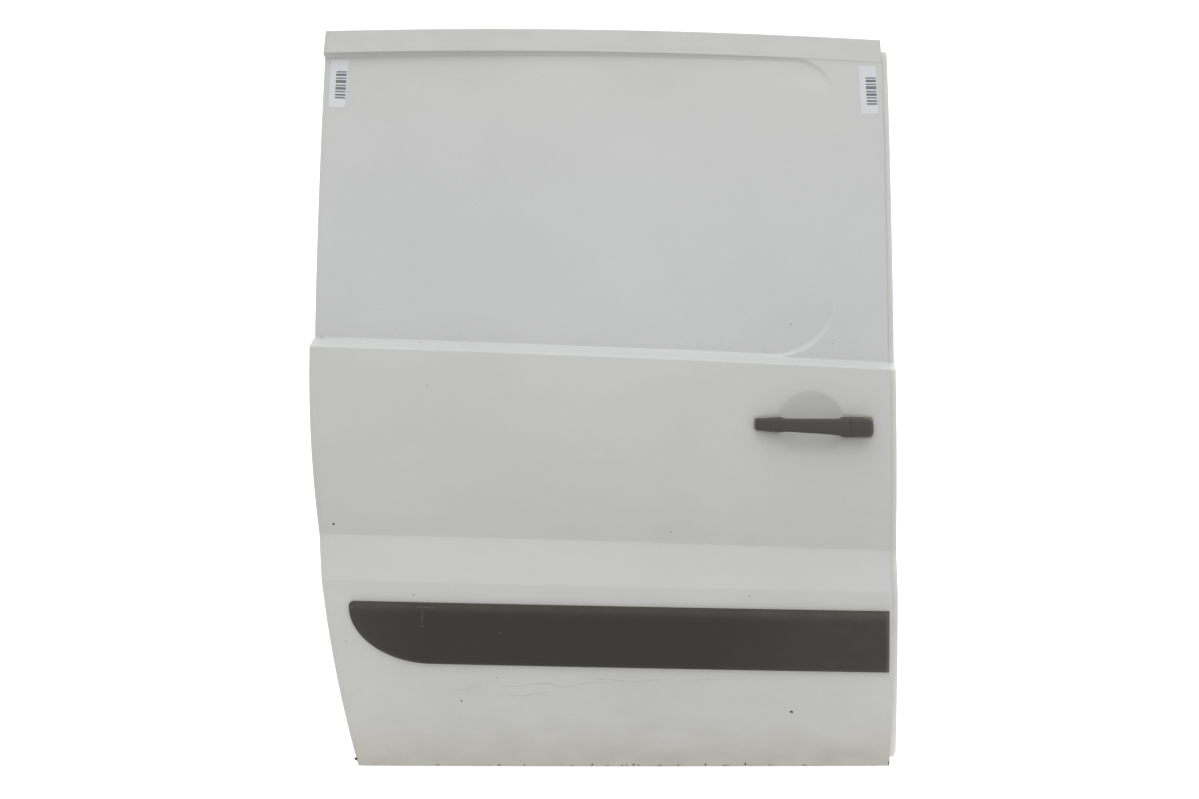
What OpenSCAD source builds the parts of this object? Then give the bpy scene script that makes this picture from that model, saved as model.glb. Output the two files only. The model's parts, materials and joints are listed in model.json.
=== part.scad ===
// Sliding side door of a panel van, right-hand side, as it comes off its rails.
// x runs from the rear edge to the front edge, z runs up, and -y faces the street.
// The origin is on the flat top of the lower roller arm, which holds the door on the van.

/* [Door] */
// Width of the outer panel
door_w = 1063; // [980:1:1150]
// Height of the top edge at its crown
door_h = 1385; // [1330:1:1460]
// Radius of the crowned top edge
top_radius = 14500; // [9000:100:30000]
// Distance of the crown from the rear edge
crown_x = 250; // [100:1:500]
// Radius of the lower rear edge, which clears the wheel arch
arch_radius = 3850; // [3000:10:6000]
// Height where the rear edge starts to curve forward
arch_z = 805; // [700:1:900]
// Radius of the door's curve seen from above
plan_radius = 25000; // [15000:100:60000]

/* [Pressed lines] */
// Depth of the band above the upper crease
top_band_h = 46.5; // [35:0.5:80]
// Height of the belt shelf's foot at the rear edge
belt_rear_z = 772; // [740:1:800]
// Fall of the belt shelf for each millimetre towards the front
belt_fall = 0.042; // [0:0.001:0.06]
// Height of the belt shelf
belt_h = 14; // [8:1:24]
// How far the body stands out below the belt
belt_out = 21; // [10:1:30]
// Rise of the belt and of the flare's upper crease in the middle of the door
line_crown = 3; // [0:0.5:8]
// Height of the crease above the flare at the rear edge
flare_top_z = 428.5; // [400:0.5:450]
// Fall of that crease for each millimetre
flare_top_fall = 0.0305; // [0:0.0005:0.05]
// Height of the crease below the flare at the rear edge
flare_foot_z = 347; // [325:1:370]
// Fall of that crease for each millimetre
flare_foot_fall = 0.0225; // [0:0.0005:0.05]
// Outward step of the flare
flare_out = 18; // [8:1:26]

/* [Slopes of the section] */
// Lean of the upper panel at the belt
lean_belt = 4.5; // [2:0.1:7]
// Lean of the upper panel at the upper crease
lean_crease = 11; // [8:0.1:14]
// Lean of the band above the crease
lean_band = 20; // [14:0.5:26]
// Outward slope just below the belt
body_top_slope = 7; // [4:0.1:9]
// Inward slope just above the flare
body_foot_slope = 5.5; // [3:0.1:8]
// Inward slope at the bottom edge
sill_slope = 11.3; // [7:0.1:14]

/* [Blind window recess] */
// Depth of the recess
recess_d = 13; // [6:0.5:18]
// Depth of the recess at its front edge, where it runs out into the panel
recess_front_d = 2; // [1:0.5:6]
// Distance of the recess's front side from the front edge
recess_in = 86; // [60:1:120]
// Width of the recess's sloping sides
recess_wall = 9; // [6:0.5:14]
// Radius of the upper front corner
recess_top_r = 78; // [50:1:110]
// Radius of the lower front corner
recess_foot_r = 120; // [80:1:150]

/* [Sheet metal] */
// Thickness of the outer panel
skin_t = 1.0; // [0.8:0.1:1.6]
// Thickness of the folded hem round its edge
hem_t = 3.0; // [2.4:0.1:4]
// Width of the folded hem
hem_w = 16; // [14:0.5:22]
// Thickness of the inner pressings
frame_t = 1.2; // [1:0.1:2]
// Distance of the inner pressing's walls from the outer panel's edges
wall_in = 12; // [9:0.5:13]
// Distance of the inner pressing's top wall from the top edge
wall_in_top = 20; // [12:0.5:30]
// Distance that the front flange stands forward of the outer panel
flange_w = 12; // [6:0.5:16]
// Distance of the flange's lower end from the bottom edge
flange_foot = 15; // [12:0.5:30]
// Depth of the inner face behind the belt line
panel_y = 45; // [40:1:60]
// Height where the inner face starts to lean
bend_z = 700; // [680:1:720]
// Lean of the inner face above that
panel_lean = 6.8; // [6:0.1:9]

/* [Inner pressings] */
// Distance of the window opening from the door's sides
window_side = 120; // [90:1:160]
// Distance of the window opening from the bend
window_foot = 130; // [100:1:170]
// Distance of the window opening from the top edge
window_head = 130; // [100:1:170]
// Radius of the window opening's corners
window_r = 42; // [30:1:90]
// Height of the access openings' foot above the bottom edge
access_foot = 105; // [80:1:150]
// Height of the access openings
access_h = 300; // [200:1:310]
// Distance of the rear access opening from the rear edge
access_rear = 145; // [130:1:180]
// Width of the post between the access openings
access_post = 60; // [50:1:100]
// Distance of the front access opening from the front edge
access_front = 208; // [180:1:260]
// Radius of the access openings' corners
access_r = 30; // [20:1:70]
// Depth of the lip round each opening
lip_d = 8; // [4:0.5:12]
// Radius of the stiffening beads
bead_r = 9; // [6:0.5:12]
// How far the beads stand out of the sheet
bead_out = 5; // [3:0.5:7]
// Distance of the first trim hole from the rear edge
trim_in = 160; // [120:1:200]
// Distance between the trim holes along the door
trim_dx = 380; // [200:1:500]
// Height of the lower trim holes
trim_z = 470; // [450:1:500]
// Distance between the trim holes up the door
trim_dz = 130; // [100:1:150]
// Radius of the trim holes
trim_r = 4; // [3:0.5:6]

/* [Stiffeners] */
// Height of the waist rail's foot
rail_z = 632; // [620:1:640]
// Height of the waist rail
rail_h = 56; // [40:1:60]
// Depth of the waist rail
rail_d = 28; // [20:1:32]
// Height of the crash beam
beam_z = 505; // [470:1:505]
// Outer radius of the crash beam
beam_r = 15; // [12:0.5:18]
// Wall of the crash beam
beam_wall = 2.5; // [2:0.1:4]
// Depth of the crash beam's axis
beam_y = -9; // [-12:0.5:0]
// Distance of the beam's brackets from the door's edges
beam_in = 100; // [90:1:140]
// Thickness of the damping pads
damper_t = 3; // [2:0.5:6]

/* [Latches] */
// Height of both latches
mouth_z = 560; // [550:1:580]
// Depth of the striker mouths behind the belt line
mouth_y = 10; // [6:0.5:14]
// Height of the striker mouths
mouth_h = 56; // [40:1:70]
// Width of the striker mouths
mouth_w = 18; // [14:1:24]
// Depth of a latch case from its wall
case_d = 44; // [40:1:60]
// Height of a latch case
case_h = 96; // [90:1:110]
// Radius of the claw
claw_r = 16; // [12:0.5:17]

/* [Handle bowl] */
// Distance of the bowl's centre from the front edge
handle_in = 145; // [135:1:180]
// Height of the bowl above the bottom edge
handle_z = 625; // [600:1:640]
// Radius of the bowl
bowl_r = 61; // [52:0.5:66]
// Depth of the bowl
bowl_d = 17.5; // [14:0.5:26]

/* [Side moulding] */
// Height of the moulding's top edge at the rear edge
mould_top_z = 309.5; // [290:0.5:320]
// Fall of its top edge for each millimetre
mould_fall = 0.0205; // [0:0.0005:0.04]
// Height of the moulding
mould_h = 111; // [90:1:130]
// Thickness of the moulding
mould_t = 9; // [6:0.5:14]
// Distance of its rear tip from the rear edge
mould_x0 = 78; // [60:1:110]
// Length of the sweep at its rear end
mould_sweep = 150; // [100:1:220]
// Gap between its front end and the front edge
mould_gap = 5; // [3:0.5:20]

/* [Handle] */
// Length of the moving grip behind the seam
grip_rear = 102; // [98:0.5:110]
// Distance of the seam in front of the bowl's centre
grip_front = 68; // [66:0.5:76]
// Length of the fixed end cap
cap_len = 42.5; // [32:0.5:50]
// Gap at the seam between the grip and the cap
seam = 1; // [0.6:0.1:2]
// How far the grip stands off the panel
grip_out = 30; // [26:0.5:40]
// Thickness of the grip over the bowl
grip_t = 14; // [10:0.5:18]
// Thickness of the rubber pads under the handle's ends
pad_t = 1.5; // [1:0.1:3]

/* [Inner handle] */
// Distance of the inner handle from the front edge
inner_in = 63; // [50:1:90]
// Width of the inner handle's bezel
bezel_w = 130; // [100:1:160]
// Height of the bezel
bezel_h = 80; // [60:1:90]
// Height of the bezel's foot
bezel_z = 560; // [540:1:570]

/* [Roller arms] */
// Distance of the upper arm from the front flange
upper_in = 75; // [60:1:110]
// Distance of the upper arm below the top edge
upper_drop = 110; // [90:1:140]
// Reach of the upper arm from the inner face
upper_reach = 78; // [60:1:110]
// Distance of the lower arm from the front flange
lower_arm_in = 115; // [100:1:160]
// Height of the lower arm's flat top
lower_arm_z = 80; // [70:1:110]
// Reach of the lower arm from the inner face
lower_reach = 200; // [150:1:240]
// Radius of the guide rollers
guide_r = 12; // [9:0.5:16]
// Radius of the load rollers
load_r = 17; // [13:0.5:20]
// Height of the centre hinge
hinge_z = 645; // [620:1:650]
// Distance of the hinge's pin from the rear edge
hinge_x = 62; // [50:1:90]
// Radius of the hinge's pin
hinge_pin_r = 6; // [5:0.5:8]
// Thickness of the arm plates
arm_t = 5; // [4:0.5:8]

/* [Hidden] */

handle_x = door_w - handle_in;
recess_x = door_w - recess_in;
frame_x1 = door_w + flange_w;
seat = hem_t - 0.3;

// Heights of the pressed lines at a distance x from the rear edge
function top_z(x) = door_h - (x - crown_x) * (x - crown_x) / (2 * top_radius);
function crease_z(x) = top_z(x) - top_band_h;
function crown(x) = line_crown * 4 * x * (door_w - x) / (door_w * door_w);
function belt_foot(x) = belt_rear_z - belt_fall * x + crown(x);
function belt_top(x) = belt_foot(x) + belt_h;
function flare_top(x) = flare_top_z - flare_top_fall * x + crown(x);
function flare_foot(x) = flare_foot_z - flare_foot_fall * x;
function lines(x) = [0, flare_foot(x), flare_top(x), belt_foot(x), belt_top(x), crease_z(x), top_z(x)];

// The rear edge is upright and turns forward on a large arc below arch_z
function rear_x(z) = z >= arch_z ? 0
    : arch_radius - sqrt(arch_radius * arch_radius - (arch_z - z) * (arch_z - z));

// A curve that starts at slope a and ends at slope b over the length h, at the distance s
function bow(a, b, h, s) = tan(a) * s + (tan(b) - tan(a)) * s * s / (2 * h);
function ramp(a, b, v) = let (t = max(0, min(1, (v - a) / (b - a)))) t * t * (3 - 2 * t);

// Depth of the plain section: sill, flare, body, belt shelf, upper panel and top band
function body_y(x, z) = -belt_out + bow(-body_top_slope, body_foot_slope,
    belt_foot(x) - flare_top(x), belt_foot(x) - z);
function flare_y(x) = body_y(x, flare_top(x)) - flare_out;
function upper_y(x, z) = bow(lean_belt, lean_crease, crease_z(x) - belt_top(x), z - belt_top(x));
function section_y(x, z) =
    z < flare_foot(x) ? flare_y(x) + bow(-0.7, sill_slope, flare_foot(x), flare_foot(x) - z)
    : z < flare_top(x) ? flare_y(x)
        + flare_out * (z - flare_foot(x)) / (flare_top(x) - flare_foot(x))
    : z < belt_foot(x) ? body_y(x, z)
    : z < belt_top(x) ? -belt_out * (belt_top(x) - z) / belt_h
    : z < crease_z(x) ? upper_y(x, z)
    : upper_y(x, crease_z(x)) + tan(lean_band) * (z - crease_z(x));

// Distance from a corner-rounded edge, negative inside
function corner(u, v, r) = u > -r && v > -r ? norm([u + r, v + r]) - r : max(u, v);
function recess_depth(x) = recess_front_d + (recess_d - recess_front_d) * max(0, 1 - x / recess_x);
function recess_y(x, z) = recess_depth(x) * (1 - ramp(-recess_wall, 0,
    max(corner(x - recess_x, z - crease_z(x), recess_top_r),
        corner(x - recess_x, belt_top(x) - z, recess_foot_r))));

// The bowl is part of a sphere
bowl_sphere = (bowl_r * bowl_r + bowl_d * bowl_d) / (2 * bowl_d);
function bowl_y(x, z) = let (r = norm([x - handle_x, z - handle_z]))
    r >= bowl_r ? 0 : sqrt(bowl_sphere * bowl_sphere - r * r) - bowl_sphere + bowl_d;

function plain_y(x, z) = section_y(x, z) + (x - door_w / 2) * (x - door_w / 2) / (2 * plan_radius);
function skin_y(x, z) = plain_y(x, z) + recess_y(x, z) + bowl_y(x, z);

// Sorted copy of a list, and the same with steps under the gap left out
function sorted(v) = len(v) < 2 ? v : let (m = v[floor(len(v) / 2)]) concat(
    sorted([for (a = v) if (a < m) a]), [for (a = v) if (a == m) a], sorted([for (a = v) if (a > m) a]));
function spaced(v, gap) = let (s = sorted(v))
    [for (i = [0 : len(s) - 1]) if (i == 0 || s[i] - s[i - 1] > gap) s[i]];
function steps(a, b, n) = [for (i = [0 : n]) a + (b - a) * i / n];

// A row is a zone between two pressed lines and a share of the way up it
function row_z(row, x) = let (l = lines(x)) l[row[0]] + (l[row[0] + 1] - l[row[0]]) * row[1];
function zone_rows(zone, shares) = [for (s = shares) [zone, s]];
function shares_at(zone, x, heights) = let (l = lines(x))
    [for (h = heights) let (s = (h - l[zone]) / (l[zone + 1] - l[zone])) if (s > 0.004 && s < 0.996) s];

// A column is a distance from the rear edge, drawn in behind the arch
function col_x(c, z) = c + rear_x(z) * max(0, 1 - c / (door_w / 2));

// A closed sheet between two depths over a grid, with a wall wherever a cell has no neighbour
module sheet(at, nc, nr, front, back, keep = function (x, z) true) {
    points = concat([for (p = at) [p[0], front(p[0], p[1]), p[1]]],
        [for (p = at) [p[0], back(p[0], p[1]), p[1]]]);
    n = nc * nr;
    function middle(i, j) = (at[j * nc + i] + at[(j + 1) * nc + i + 1]) / 2;
    function full(i, j) = i >= 0 && j >= 0 && i < nc - 1 && j < nr - 1
        && keep(middle(i, j)[0], middle(i, j)[1]);
    faces = [for (j = [0 : nr - 2]) for (i = [0 : nc - 2]) if (full(i, j))
        let (a = j * nc + i, b = a + 1, c = b + nc, d = a + nc) each concat(
            [[a, d, c], [a, c, b], [n + a, n + c, n + d], [n + a, n + b, n + c]],
            full(i, j - 1) ? [] : [[a, b, n + b], [a, n + b, n + a]],
            full(i, j + 1) ? [] : [[d, n + d, n + c], [d, n + c, c]],
            full(i - 1, j) ? [] : [[a, n + a, n + d], [a, n + d, d]],
            full(i + 1, j) ? [] : [[b, c, n + c], [b, n + c, n + b]])];
    polyhedron(points, faces, convexity = 6);
}
module grid_sheet(cols, rows, front, back, keep = function (x, z) true)
    sheet([for (j = [0 : len(rows) - 1]) for (i = [0 : len(cols) - 1])
        let (z0 = row_z(rows[j], cols[i]), x = col_x(cols[i], z0)) [x, row_z(rows[j], x)]],
        len(cols), len(rows), front, back, keep);

// Everything in front of a surface that lies a set distance behind the outer face
module ahead_of_skin(behind) {
    cols = concat([-20], steps(wall_in, recess_x - recess_foot_r, 3), [recess_x + 10, door_w + 40]);
    rows = concat(zone_rows(0, [-0.1, 0, 0.2, 0.4, 0.6, 0.8]), zone_rows(1, [0]),
        zone_rows(2, [0, 0.2, 0.4, 0.6, 0.8]), zone_rows(3, [0]), zone_rows(4, [0, 0.02, 0.3, 0.6, 0.98]),
        zone_rows(5, [0, 1, 1.6]));
    grid_sheet(cols, rows, function (x, z) -260, function (x, z) plain_y(x, z)
        + (x < recess_x && z > belt_top(x) && z < crease_z(x) ? recess_depth(x) : 0) + behind);
}

// A slab between two depths with an outline drawn in x and z
module slab(y0, y1) translate([0, y1, 0]) rotate([90, 0, 0]) linear_extrude(y1 - y0) children();
module rounded(x0, x1, z0, z1, r) {
    translate([x0 + r, z0]) square([x1 - x0 - 2 * r, z1 - z0]);
    translate([x0, z0 + r]) square([x1 - x0, z1 - z0 - 2 * r]);
    for (x = [x0 + r, x1 - r]) for (z = [z0 + r, z1 - r]) translate([x, z]) circle(r, $fn = 48);
}
module rod(x, y, z0, z1, r) translate([x, y, z0]) cylinder(h = z1 - z0, r = r, $fn = 48);
module wheel_y(x, y0, y1, z, r) translate([x, y0, z]) rotate([-90, 0, 0])
    cylinder(h = y1 - y0, r = r, $fn = 48);
module wheel_x(x0, x1, y, z, r) translate([x0, y, z]) rotate([0, 90, 0])
    cylinder(h = x1 - x0, r = r, $fn = 48);
module block(x0, x1, y0, y1, z0, z1) translate([x0, y0, z0]) cube([x1 - x0, y1 - y0, z1 - z0]);

// The part's origin is on the lower arm's flat top, behind the inner face
arm_x = frame_x1 - lower_arm_in;
inner_y = panel_y + frame_t;
origin_y = inner_y + lower_reach * 0.6;
module placed() translate([-arm_x, -origin_y, -lower_arm_z]) children();

// The outer panel is one pressing with a thicker folded hem round its edge
pivot_x = -88;
pivot_depth = 14;
grip_hook = [pivot_x - 12, pivot_x + 12, -7, 9];
grip_slot = [52, grip_front + 0.5, -9, 9];
function in_hole(x, z, h) = x > handle_x + h[0] && x < handle_x + h[1]
    && z > handle_z + h[2] && z < handle_z + h[3];
function in_hem(x, z) = x < rear_x(z) + hem_w - 0.01 || x > door_w - hem_w + 0.01
    || z < hem_w - 0.01 || z > top_z(x) - hem_w + 0.01;
function outside_holes(x, z) = !in_hole(x, z, grip_hook) && !in_hole(x, z, grip_slot);

module outer_skin() placed() {
    cols = spaced(concat([0, hem_w - 1, hem_w], steps(hem_w + 50, recess_x - recess_foot_r - 70, 7),
        [for (h = [grip_hook, grip_slot]) each [handle_x + h[0], handle_x + h[1]]],
        steps(recess_x - recess_foot_r, recess_x, 15),
        [recess_x + 30, door_w - hem_w, door_w - hem_w + 1, door_w]), 0.6);
    low = hem_w / flare_foot_z;
    band = hem_w / top_band_h;
    rows = concat(zone_rows(0, [0, low * 0.94, low, 0.2, 0.35, 0.5, 0.65, 0.8, 0.92]),
        zone_rows(1, [0, 0.5]),
        zone_rows(2, spaced(concat([0, 0.15, 0.3, 0.94], shares_at(2, handle_x, concat(
            steps(handle_z - bowl_r, handle_z + bowl_r, 13), [handle_z - 9, handle_z + 9]))), 0.008)),
        zone_rows(3, [0, 0.5]),
        zone_rows(4, spaced(concat([0], shares_at(4, recess_x, concat(
            steps(belt_top(recess_x), belt_top(recess_x) + recess_foot_r, 12),
            steps(belt_top(recess_x) + 180, crease_z(recess_x) - recess_top_r - 40, 3),
            steps(crease_z(recess_x) - recess_top_r, crease_z(recess_x), 9)))), 0.004)),
        zone_rows(5, [0, 0.4, 1 - band, 1 - band * 0.94, 1]));
    color("gainsboro")
        grid_sheet(cols, rows, function (x, z) skin_y(x, z),
            function (x, z) skin_y(x, z) + (in_hem(x, z) ? hem_t : skin_t),
            function (x, z) outside_holes(x, z));
}

// Inner pressings: two open pans whose walls reach forward to the hem
module pan_outline(d, low, high) polygon(concat(
    [for (z = steps(low, high, 20)) [rear_x(z) + d, z]], [[door_w - d, high], [door_w - d, low]]));
module pan_top_outline(d, dt, low) polygon(concat([[d, low]],
    [for (x = steps(d, door_w - d, 10)) [x, top_z(x) - dt]], [[door_w - d, low]]));
module leaned() translate([0, panel_y, bend_z]) rotate([-panel_lean, 0, 0]) children();

// A rod with round ends that lies along a bead
module capsule_z(x, y, z0, z1, r) {
    rod(x, y, z0, z1, r);
    for (z = [z0, z1]) translate([x, y, z]) sphere(r, $fn = 48);
}
module capsule_x(x0, x1, y, z, r) {
    wheel_x(x0, x1, y, z, r);
    for (x = [x0, x1]) translate([x, y, z]) sphere(r, $fn = 48);
}
// Each bead: first corner and last corner of its line in x and z
module beads(list, r) for (b = list) {
    if (b[0] == b[2]) capsule_z(b[0], frame_t + bead_out - bead_r, b[1], b[3], r);
    else capsule_x(b[0], b[2], frame_t + bead_out - bead_r, b[1], r);
}
module beads_out(list) intersection() {
    beads(list, bead_r);
    block(-50, door_w + 50, frame_t / 2, bead_out + 20, -50, door_h);
}
// A lip turned forward round an opening
module lip(o) slab(-lip_d, frame_t / 2) difference() {
    rounded(o[0] - frame_t, o[1] + frame_t, o[2] - frame_t, o[3] + frame_t, o[4] + frame_t);
    rounded(o[0], o[1], o[2], o[3], o[4]);
}
module hole(o) slab(-lip_d - 1, bead_out + 1) rounded(o[0], o[1], o[2], o[3], o[4]);

window_top = (door_h - bend_z) / cos(panel_lean) - window_head;
window_opening = [window_side, door_w - window_side, window_foot, window_top, window_r];
window_beads = [[window_side / 2, window_foot / 2, window_side / 2, window_top - 50],
    [door_w - window_side / 2, window_foot / 2, door_w - window_side / 2, window_top - 50],
    [window_side + 60, window_foot / 2, door_w - window_side - 60, window_foot / 2]];
module window_frame() placed() color("silver") difference() {
    union() {
        difference() {
            slab(-120, 300) pan_top_outline(wall_in, wall_in_top, bend_z);
            leaned() block(-100, door_w + 200, frame_t, 500, -300, 900);
            intersection() {
                slab(-130, 320) pan_top_outline(wall_in + frame_t, wall_in_top + frame_t, bend_z - 1);
                leaned() block(-100, door_w + 200, -500, 0, -300, 900);
            }
            ahead_of_skin(seat);
        }
        leaned() {
            lip(window_opening);
            beads_out(window_beads);
        }
    }
    leaned() {
        hole(window_opening);
        beads(window_beads, bead_r - frame_t);
    }
}

access_mid = (access_rear + door_w - access_front) / 2;
access_top = access_foot + access_h;
access_openings = [[access_rear, access_mid - access_post / 2, access_foot, access_top, access_r],
    [access_mid + access_post / 2, door_w - access_front, access_foot, access_top, access_r]];
panel_beads = [[access_mid, access_foot + 30, access_mid, access_top - 30],
    [access_rear - 45, access_foot + 90, access_rear - 45, access_top + 60],
    [door_w - access_front + 55, access_foot + 60, door_w - access_front + 55, access_top + 60],
    [access_rear + 40, access_top + 35, door_w - access_front - 40, access_top + 35],
    [access_rear + 40, access_foot - 45, door_w - access_front - 40, access_foot - 45]];
trim_xs = [trim_in, trim_in + trim_dx];
trim_zs = [trim_z, trim_z + trim_dz];
plug_r = 9;
plug_places = [[access_rear - 40, access_foot - 20], [access_mid, access_foot - 20],
    [access_mid + 60, access_top + 80], [access_mid + 200, access_top + 80]];
module on_inner() translate([0, panel_y, 0]) children();
// Windows in the two side walls, which the latch cases close but for their mouths
module latch_windows() for (x = [-1, door_w - 59])
    block(x, x + 60, mouth_y - mouth_w / 2 - 9, mouth_y + mouth_w / 2 + 13,
        mouth_z - case_h / 2 + 3, mouth_z + case_h / 2 - 3);
module inner_panel() placed() color("silver") difference() {
    union() {
        difference() {
            slab(-120, inner_y) pan_outline(wall_in, wall_in, bend_z);
            slab(-130, panel_y) pan_outline(wall_in + frame_t, wall_in + frame_t, bend_z + 1);
            ahead_of_skin(seat);
        }
        on_inner() {
            for (o = access_openings) lip(o);
            beads_out(panel_beads);
        }
    }
    on_inner() {
        for (o = access_openings) hole(o);
        beads(panel_beads, bead_r - frame_t);
        for (x = trim_xs) for (z = trim_zs) wheel_y(x, -10, 10, z, trim_r);
        for (p = plug_places) wheel_y(p[0], -10, 10, p[1], plug_r);
    }
    latch_windows();
}

// The flange that stands forward of the outer panel, stepped back behind its hem
flange_back = 9;
flange_top = top_z(frame_x1) - 22;
flange_rows = spaced(concat([flange_foot, flange_foot + 12], steps(flange_foot + 60, bend_z, 6),
    [flare_foot(door_w), flare_top(door_w), belt_foot(door_w), belt_top(door_w)],
    steps(belt_top(door_w) + 60, flange_top - 10, 7), [flange_top - 4, flange_top]), 0.5);
flange_cols = [door_w - wall_in, door_w, frame_x1 - 5, frame_x1];
function flange_corner(i, j) = i == 3 && (j == 0 || j == len(flange_rows) - 1) ? 4 : 0;
module front_flange() placed() color("gainsboro")
    sheet([for (j = [0 : len(flange_rows) - 1]) for (i = [0 : 3])
        [flange_cols[i] - flange_corner(i, j), flange_rows[j]]], 4, len(flange_rows),
        function (x, z) plain_y(door_w, z) + flange_back,
        function (x, z) plain_y(door_w, z) + flange_back + frame_t);

// Stiffeners between the two skins
rail_t = 1.5;
rail_y = panel_y - rail_d;
wall_x0 = wall_in + frame_t;
wall_x1 = door_w - wall_in - frame_t;
rail_x0 = wall_x0 + rear_x(rail_z - 10);
rail_holes = steps(rail_x0 + 190, handle_x - 240, 4);
module waist_rail() placed() color("dimgray") difference() {
    union() {
        block(rail_x0, wall_x1, rail_y, panel_y, rail_z, rail_z + rail_h);
        block(rail_x0, wall_x1, panel_y - rail_t, panel_y, rail_z - 10, rail_z);
    }
    block(0, door_w, rail_y + rail_t, panel_y + 1, rail_z + rail_t, rail_z + rail_h - rail_t);
    for (x = rail_holes) wheel_y(x, rail_y - 5, rail_y + 5, rail_z + rail_h / 2, rail_h / 5);
}
module crash_beam() placed() color("dimgray") difference() {
    wheel_x(beam_in - 16, door_w - beam_in + 16, beam_y, beam_z, beam_r);
    wheel_x(0, door_w, beam_y, beam_z, beam_r - beam_wall);
}
module beam_brackets() placed() color("dimgray") for (x = [beam_in, door_w - beam_in]) difference() {
    union() {
        block(x - 25, x + 25, panel_y - 3, panel_y, beam_z - beam_r * 2, beam_z + beam_r * 2);
        block(x - 1.5, x + 1.5, beam_y - 4, panel_y - 2, beam_z - beam_r - 3, beam_z + beam_r + 3);
    }
    wheel_x(x - 5, x + 5, beam_y, beam_z, beam_r);
}
// Each pad: zone, its two ends as shares of the width, and its foot and head as shares of the zone
dampers = [[0, 0.17, 0.40, 0.3, 0.62], [0, 0.53, 0.75, 0.3, 0.62], [4, 0.23, 0.71, 0.35, 0.6]];
module damping_pads() placed() color("dimgray") for (p = dampers)
    grid_sheet(steps(p[1] * door_w, p[2] * door_w, 3), zone_rows(p[0], steps(p[3], p[4], 4)),
        function (x, z) skin_y(x, z) + skin_t, function (x, z) skin_y(x, z) + skin_t + damper_t);

// Side moulding: a bevelled strip that sweeps up to a blunt tip behind the wheel arch
mould_x1 = door_w - mould_gap;
function mould_top(x) = mould_top_z - mould_fall * x;
function mould_low(x) = let (s = max(0, mould_x0 + mould_sweep - x) / mould_sweep)
    mould_top(x) - mould_h * sqrt(max(0, 1 - s * s));
function mould_face(s) = mould_t * (s < 0.1 ? 0.3 + 0.7 * sqrt(1 - (1 - s / 0.1) * (1 - s / 0.1))
    : s < 0.86 ? 1 : 1 - 0.55 * (s - 0.86) / 0.14);
function mould_share(x, z) = (z - mould_low(x)) / (mould_top(x) - mould_low(x));
module side_moulding() placed() color("darkslategray") {
    xs = concat([for (k = [1 : 10]) mould_x0 + mould_sweep * (1 - cos(9 * k))],
        steps(mould_x0 + mould_sweep + 80, mould_x1 - 80, 6), [mould_x1 - 8, mould_x1 - 2, mould_x1]);
    ss = [0, 0.012, 0.04, 0.1, 0.3, 0.55, 0.86, 0.985, 1];
    sheet([for (s = ss) for (x = xs) [x, mould_low(x) + s * (mould_top(x) - mould_low(x))]],
        len(xs), len(ss), function (x, z) skin_y(x, z) - mould_face(mould_share(x, z))
            * min(1, 0.5 + (mould_x1 - x) / 12) * (mould_share(x, z) > 0.99 ? 0.7 : 1),
        function (x, z) skin_y(x, z));
}

// The handle's own frame lies on the panel at the bowl's centre
slope_z = (plain_y(handle_x, handle_z + 10) - plain_y(handle_x, handle_z - 10)) / 20;
slope_x = (plain_y(handle_x + 10, handle_z) - plain_y(handle_x - 10, handle_z)) / 20;
module on_handle() placed() translate([handle_x, plain_y(handle_x, handle_z), handle_z])
    rotate([-atan(slope_z), 0, atan(slope_x)]) children();

handle_top = 15.6;
handle_foot = -20.9;
rest_gap = 0.3;
// Each station: place along the handle, top, foot, outer face and inner face
grip_stations = [[-grip_rear, 10.5, -5, 8, 4.4], [2 - grip_rear, 12.2, -6.8, 11.5, 4],
    [pivot_x, 13.6, -8.7, 18, 1.2], [pivot_x + 8, 14.2, -9.6, 22, rest_gap], [-64, 15.3, -11.6, 26, rest_gap],
    [-59.5, 15.5, -12, 27, 4], [-55, 14.4, -12.2, 27.6, 10], [-50, 12.9, -11.6, 28.6, 13],
    [-38, 12.4, -12.2, grip_out, grip_out - grip_t], [0, 12.1, -14.7, grip_out + 1, grip_out - grip_t + 1],
    [38, 11.9, -17.5, grip_out + 0.5, grip_out - grip_t + 0.5], [46, 12.3, -18.4, grip_out, 13],
    [50, 13.8, -19.5, grip_out, 6], [54, 15.3, -20.5, grip_out, rest_gap],
    [grip_front - 2, handle_top, handle_foot, grip_out - 0.6, rest_gap],
    [grip_front, handle_top - 0.7, handle_foot + 0.7, grip_out - 1.6, rest_gap]];
cap_x0 = grip_front + seam;
cap_x1 = cap_x0 + cap_len;
cap_stations = [[cap_x0, handle_top - 0.7, handle_foot + 0.7, grip_out - 1.6, 0],
    [cap_x0 + 2, handle_top, handle_foot, grip_out - 0.8, 0],
    [cap_x0 + cap_len * 0.4, handle_top - 1, handle_foot + 0.1, grip_out - 3, 0],
    [cap_x1 - 13, handle_top - 3.2, handle_foot + 0.5, grip_out - 6.5, 0],
    [cap_x1 - 6, handle_top - 5.4, handle_foot + 1.6, grip_out - 10, 0],
    [cap_x1 - 2, handle_top - 8.6, handle_foot + 4.4, grip_out - 15, 0],
    [cap_x1, handle_top - 12.6, handle_foot + 8.4, grip_out - 20, 0]];
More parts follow.
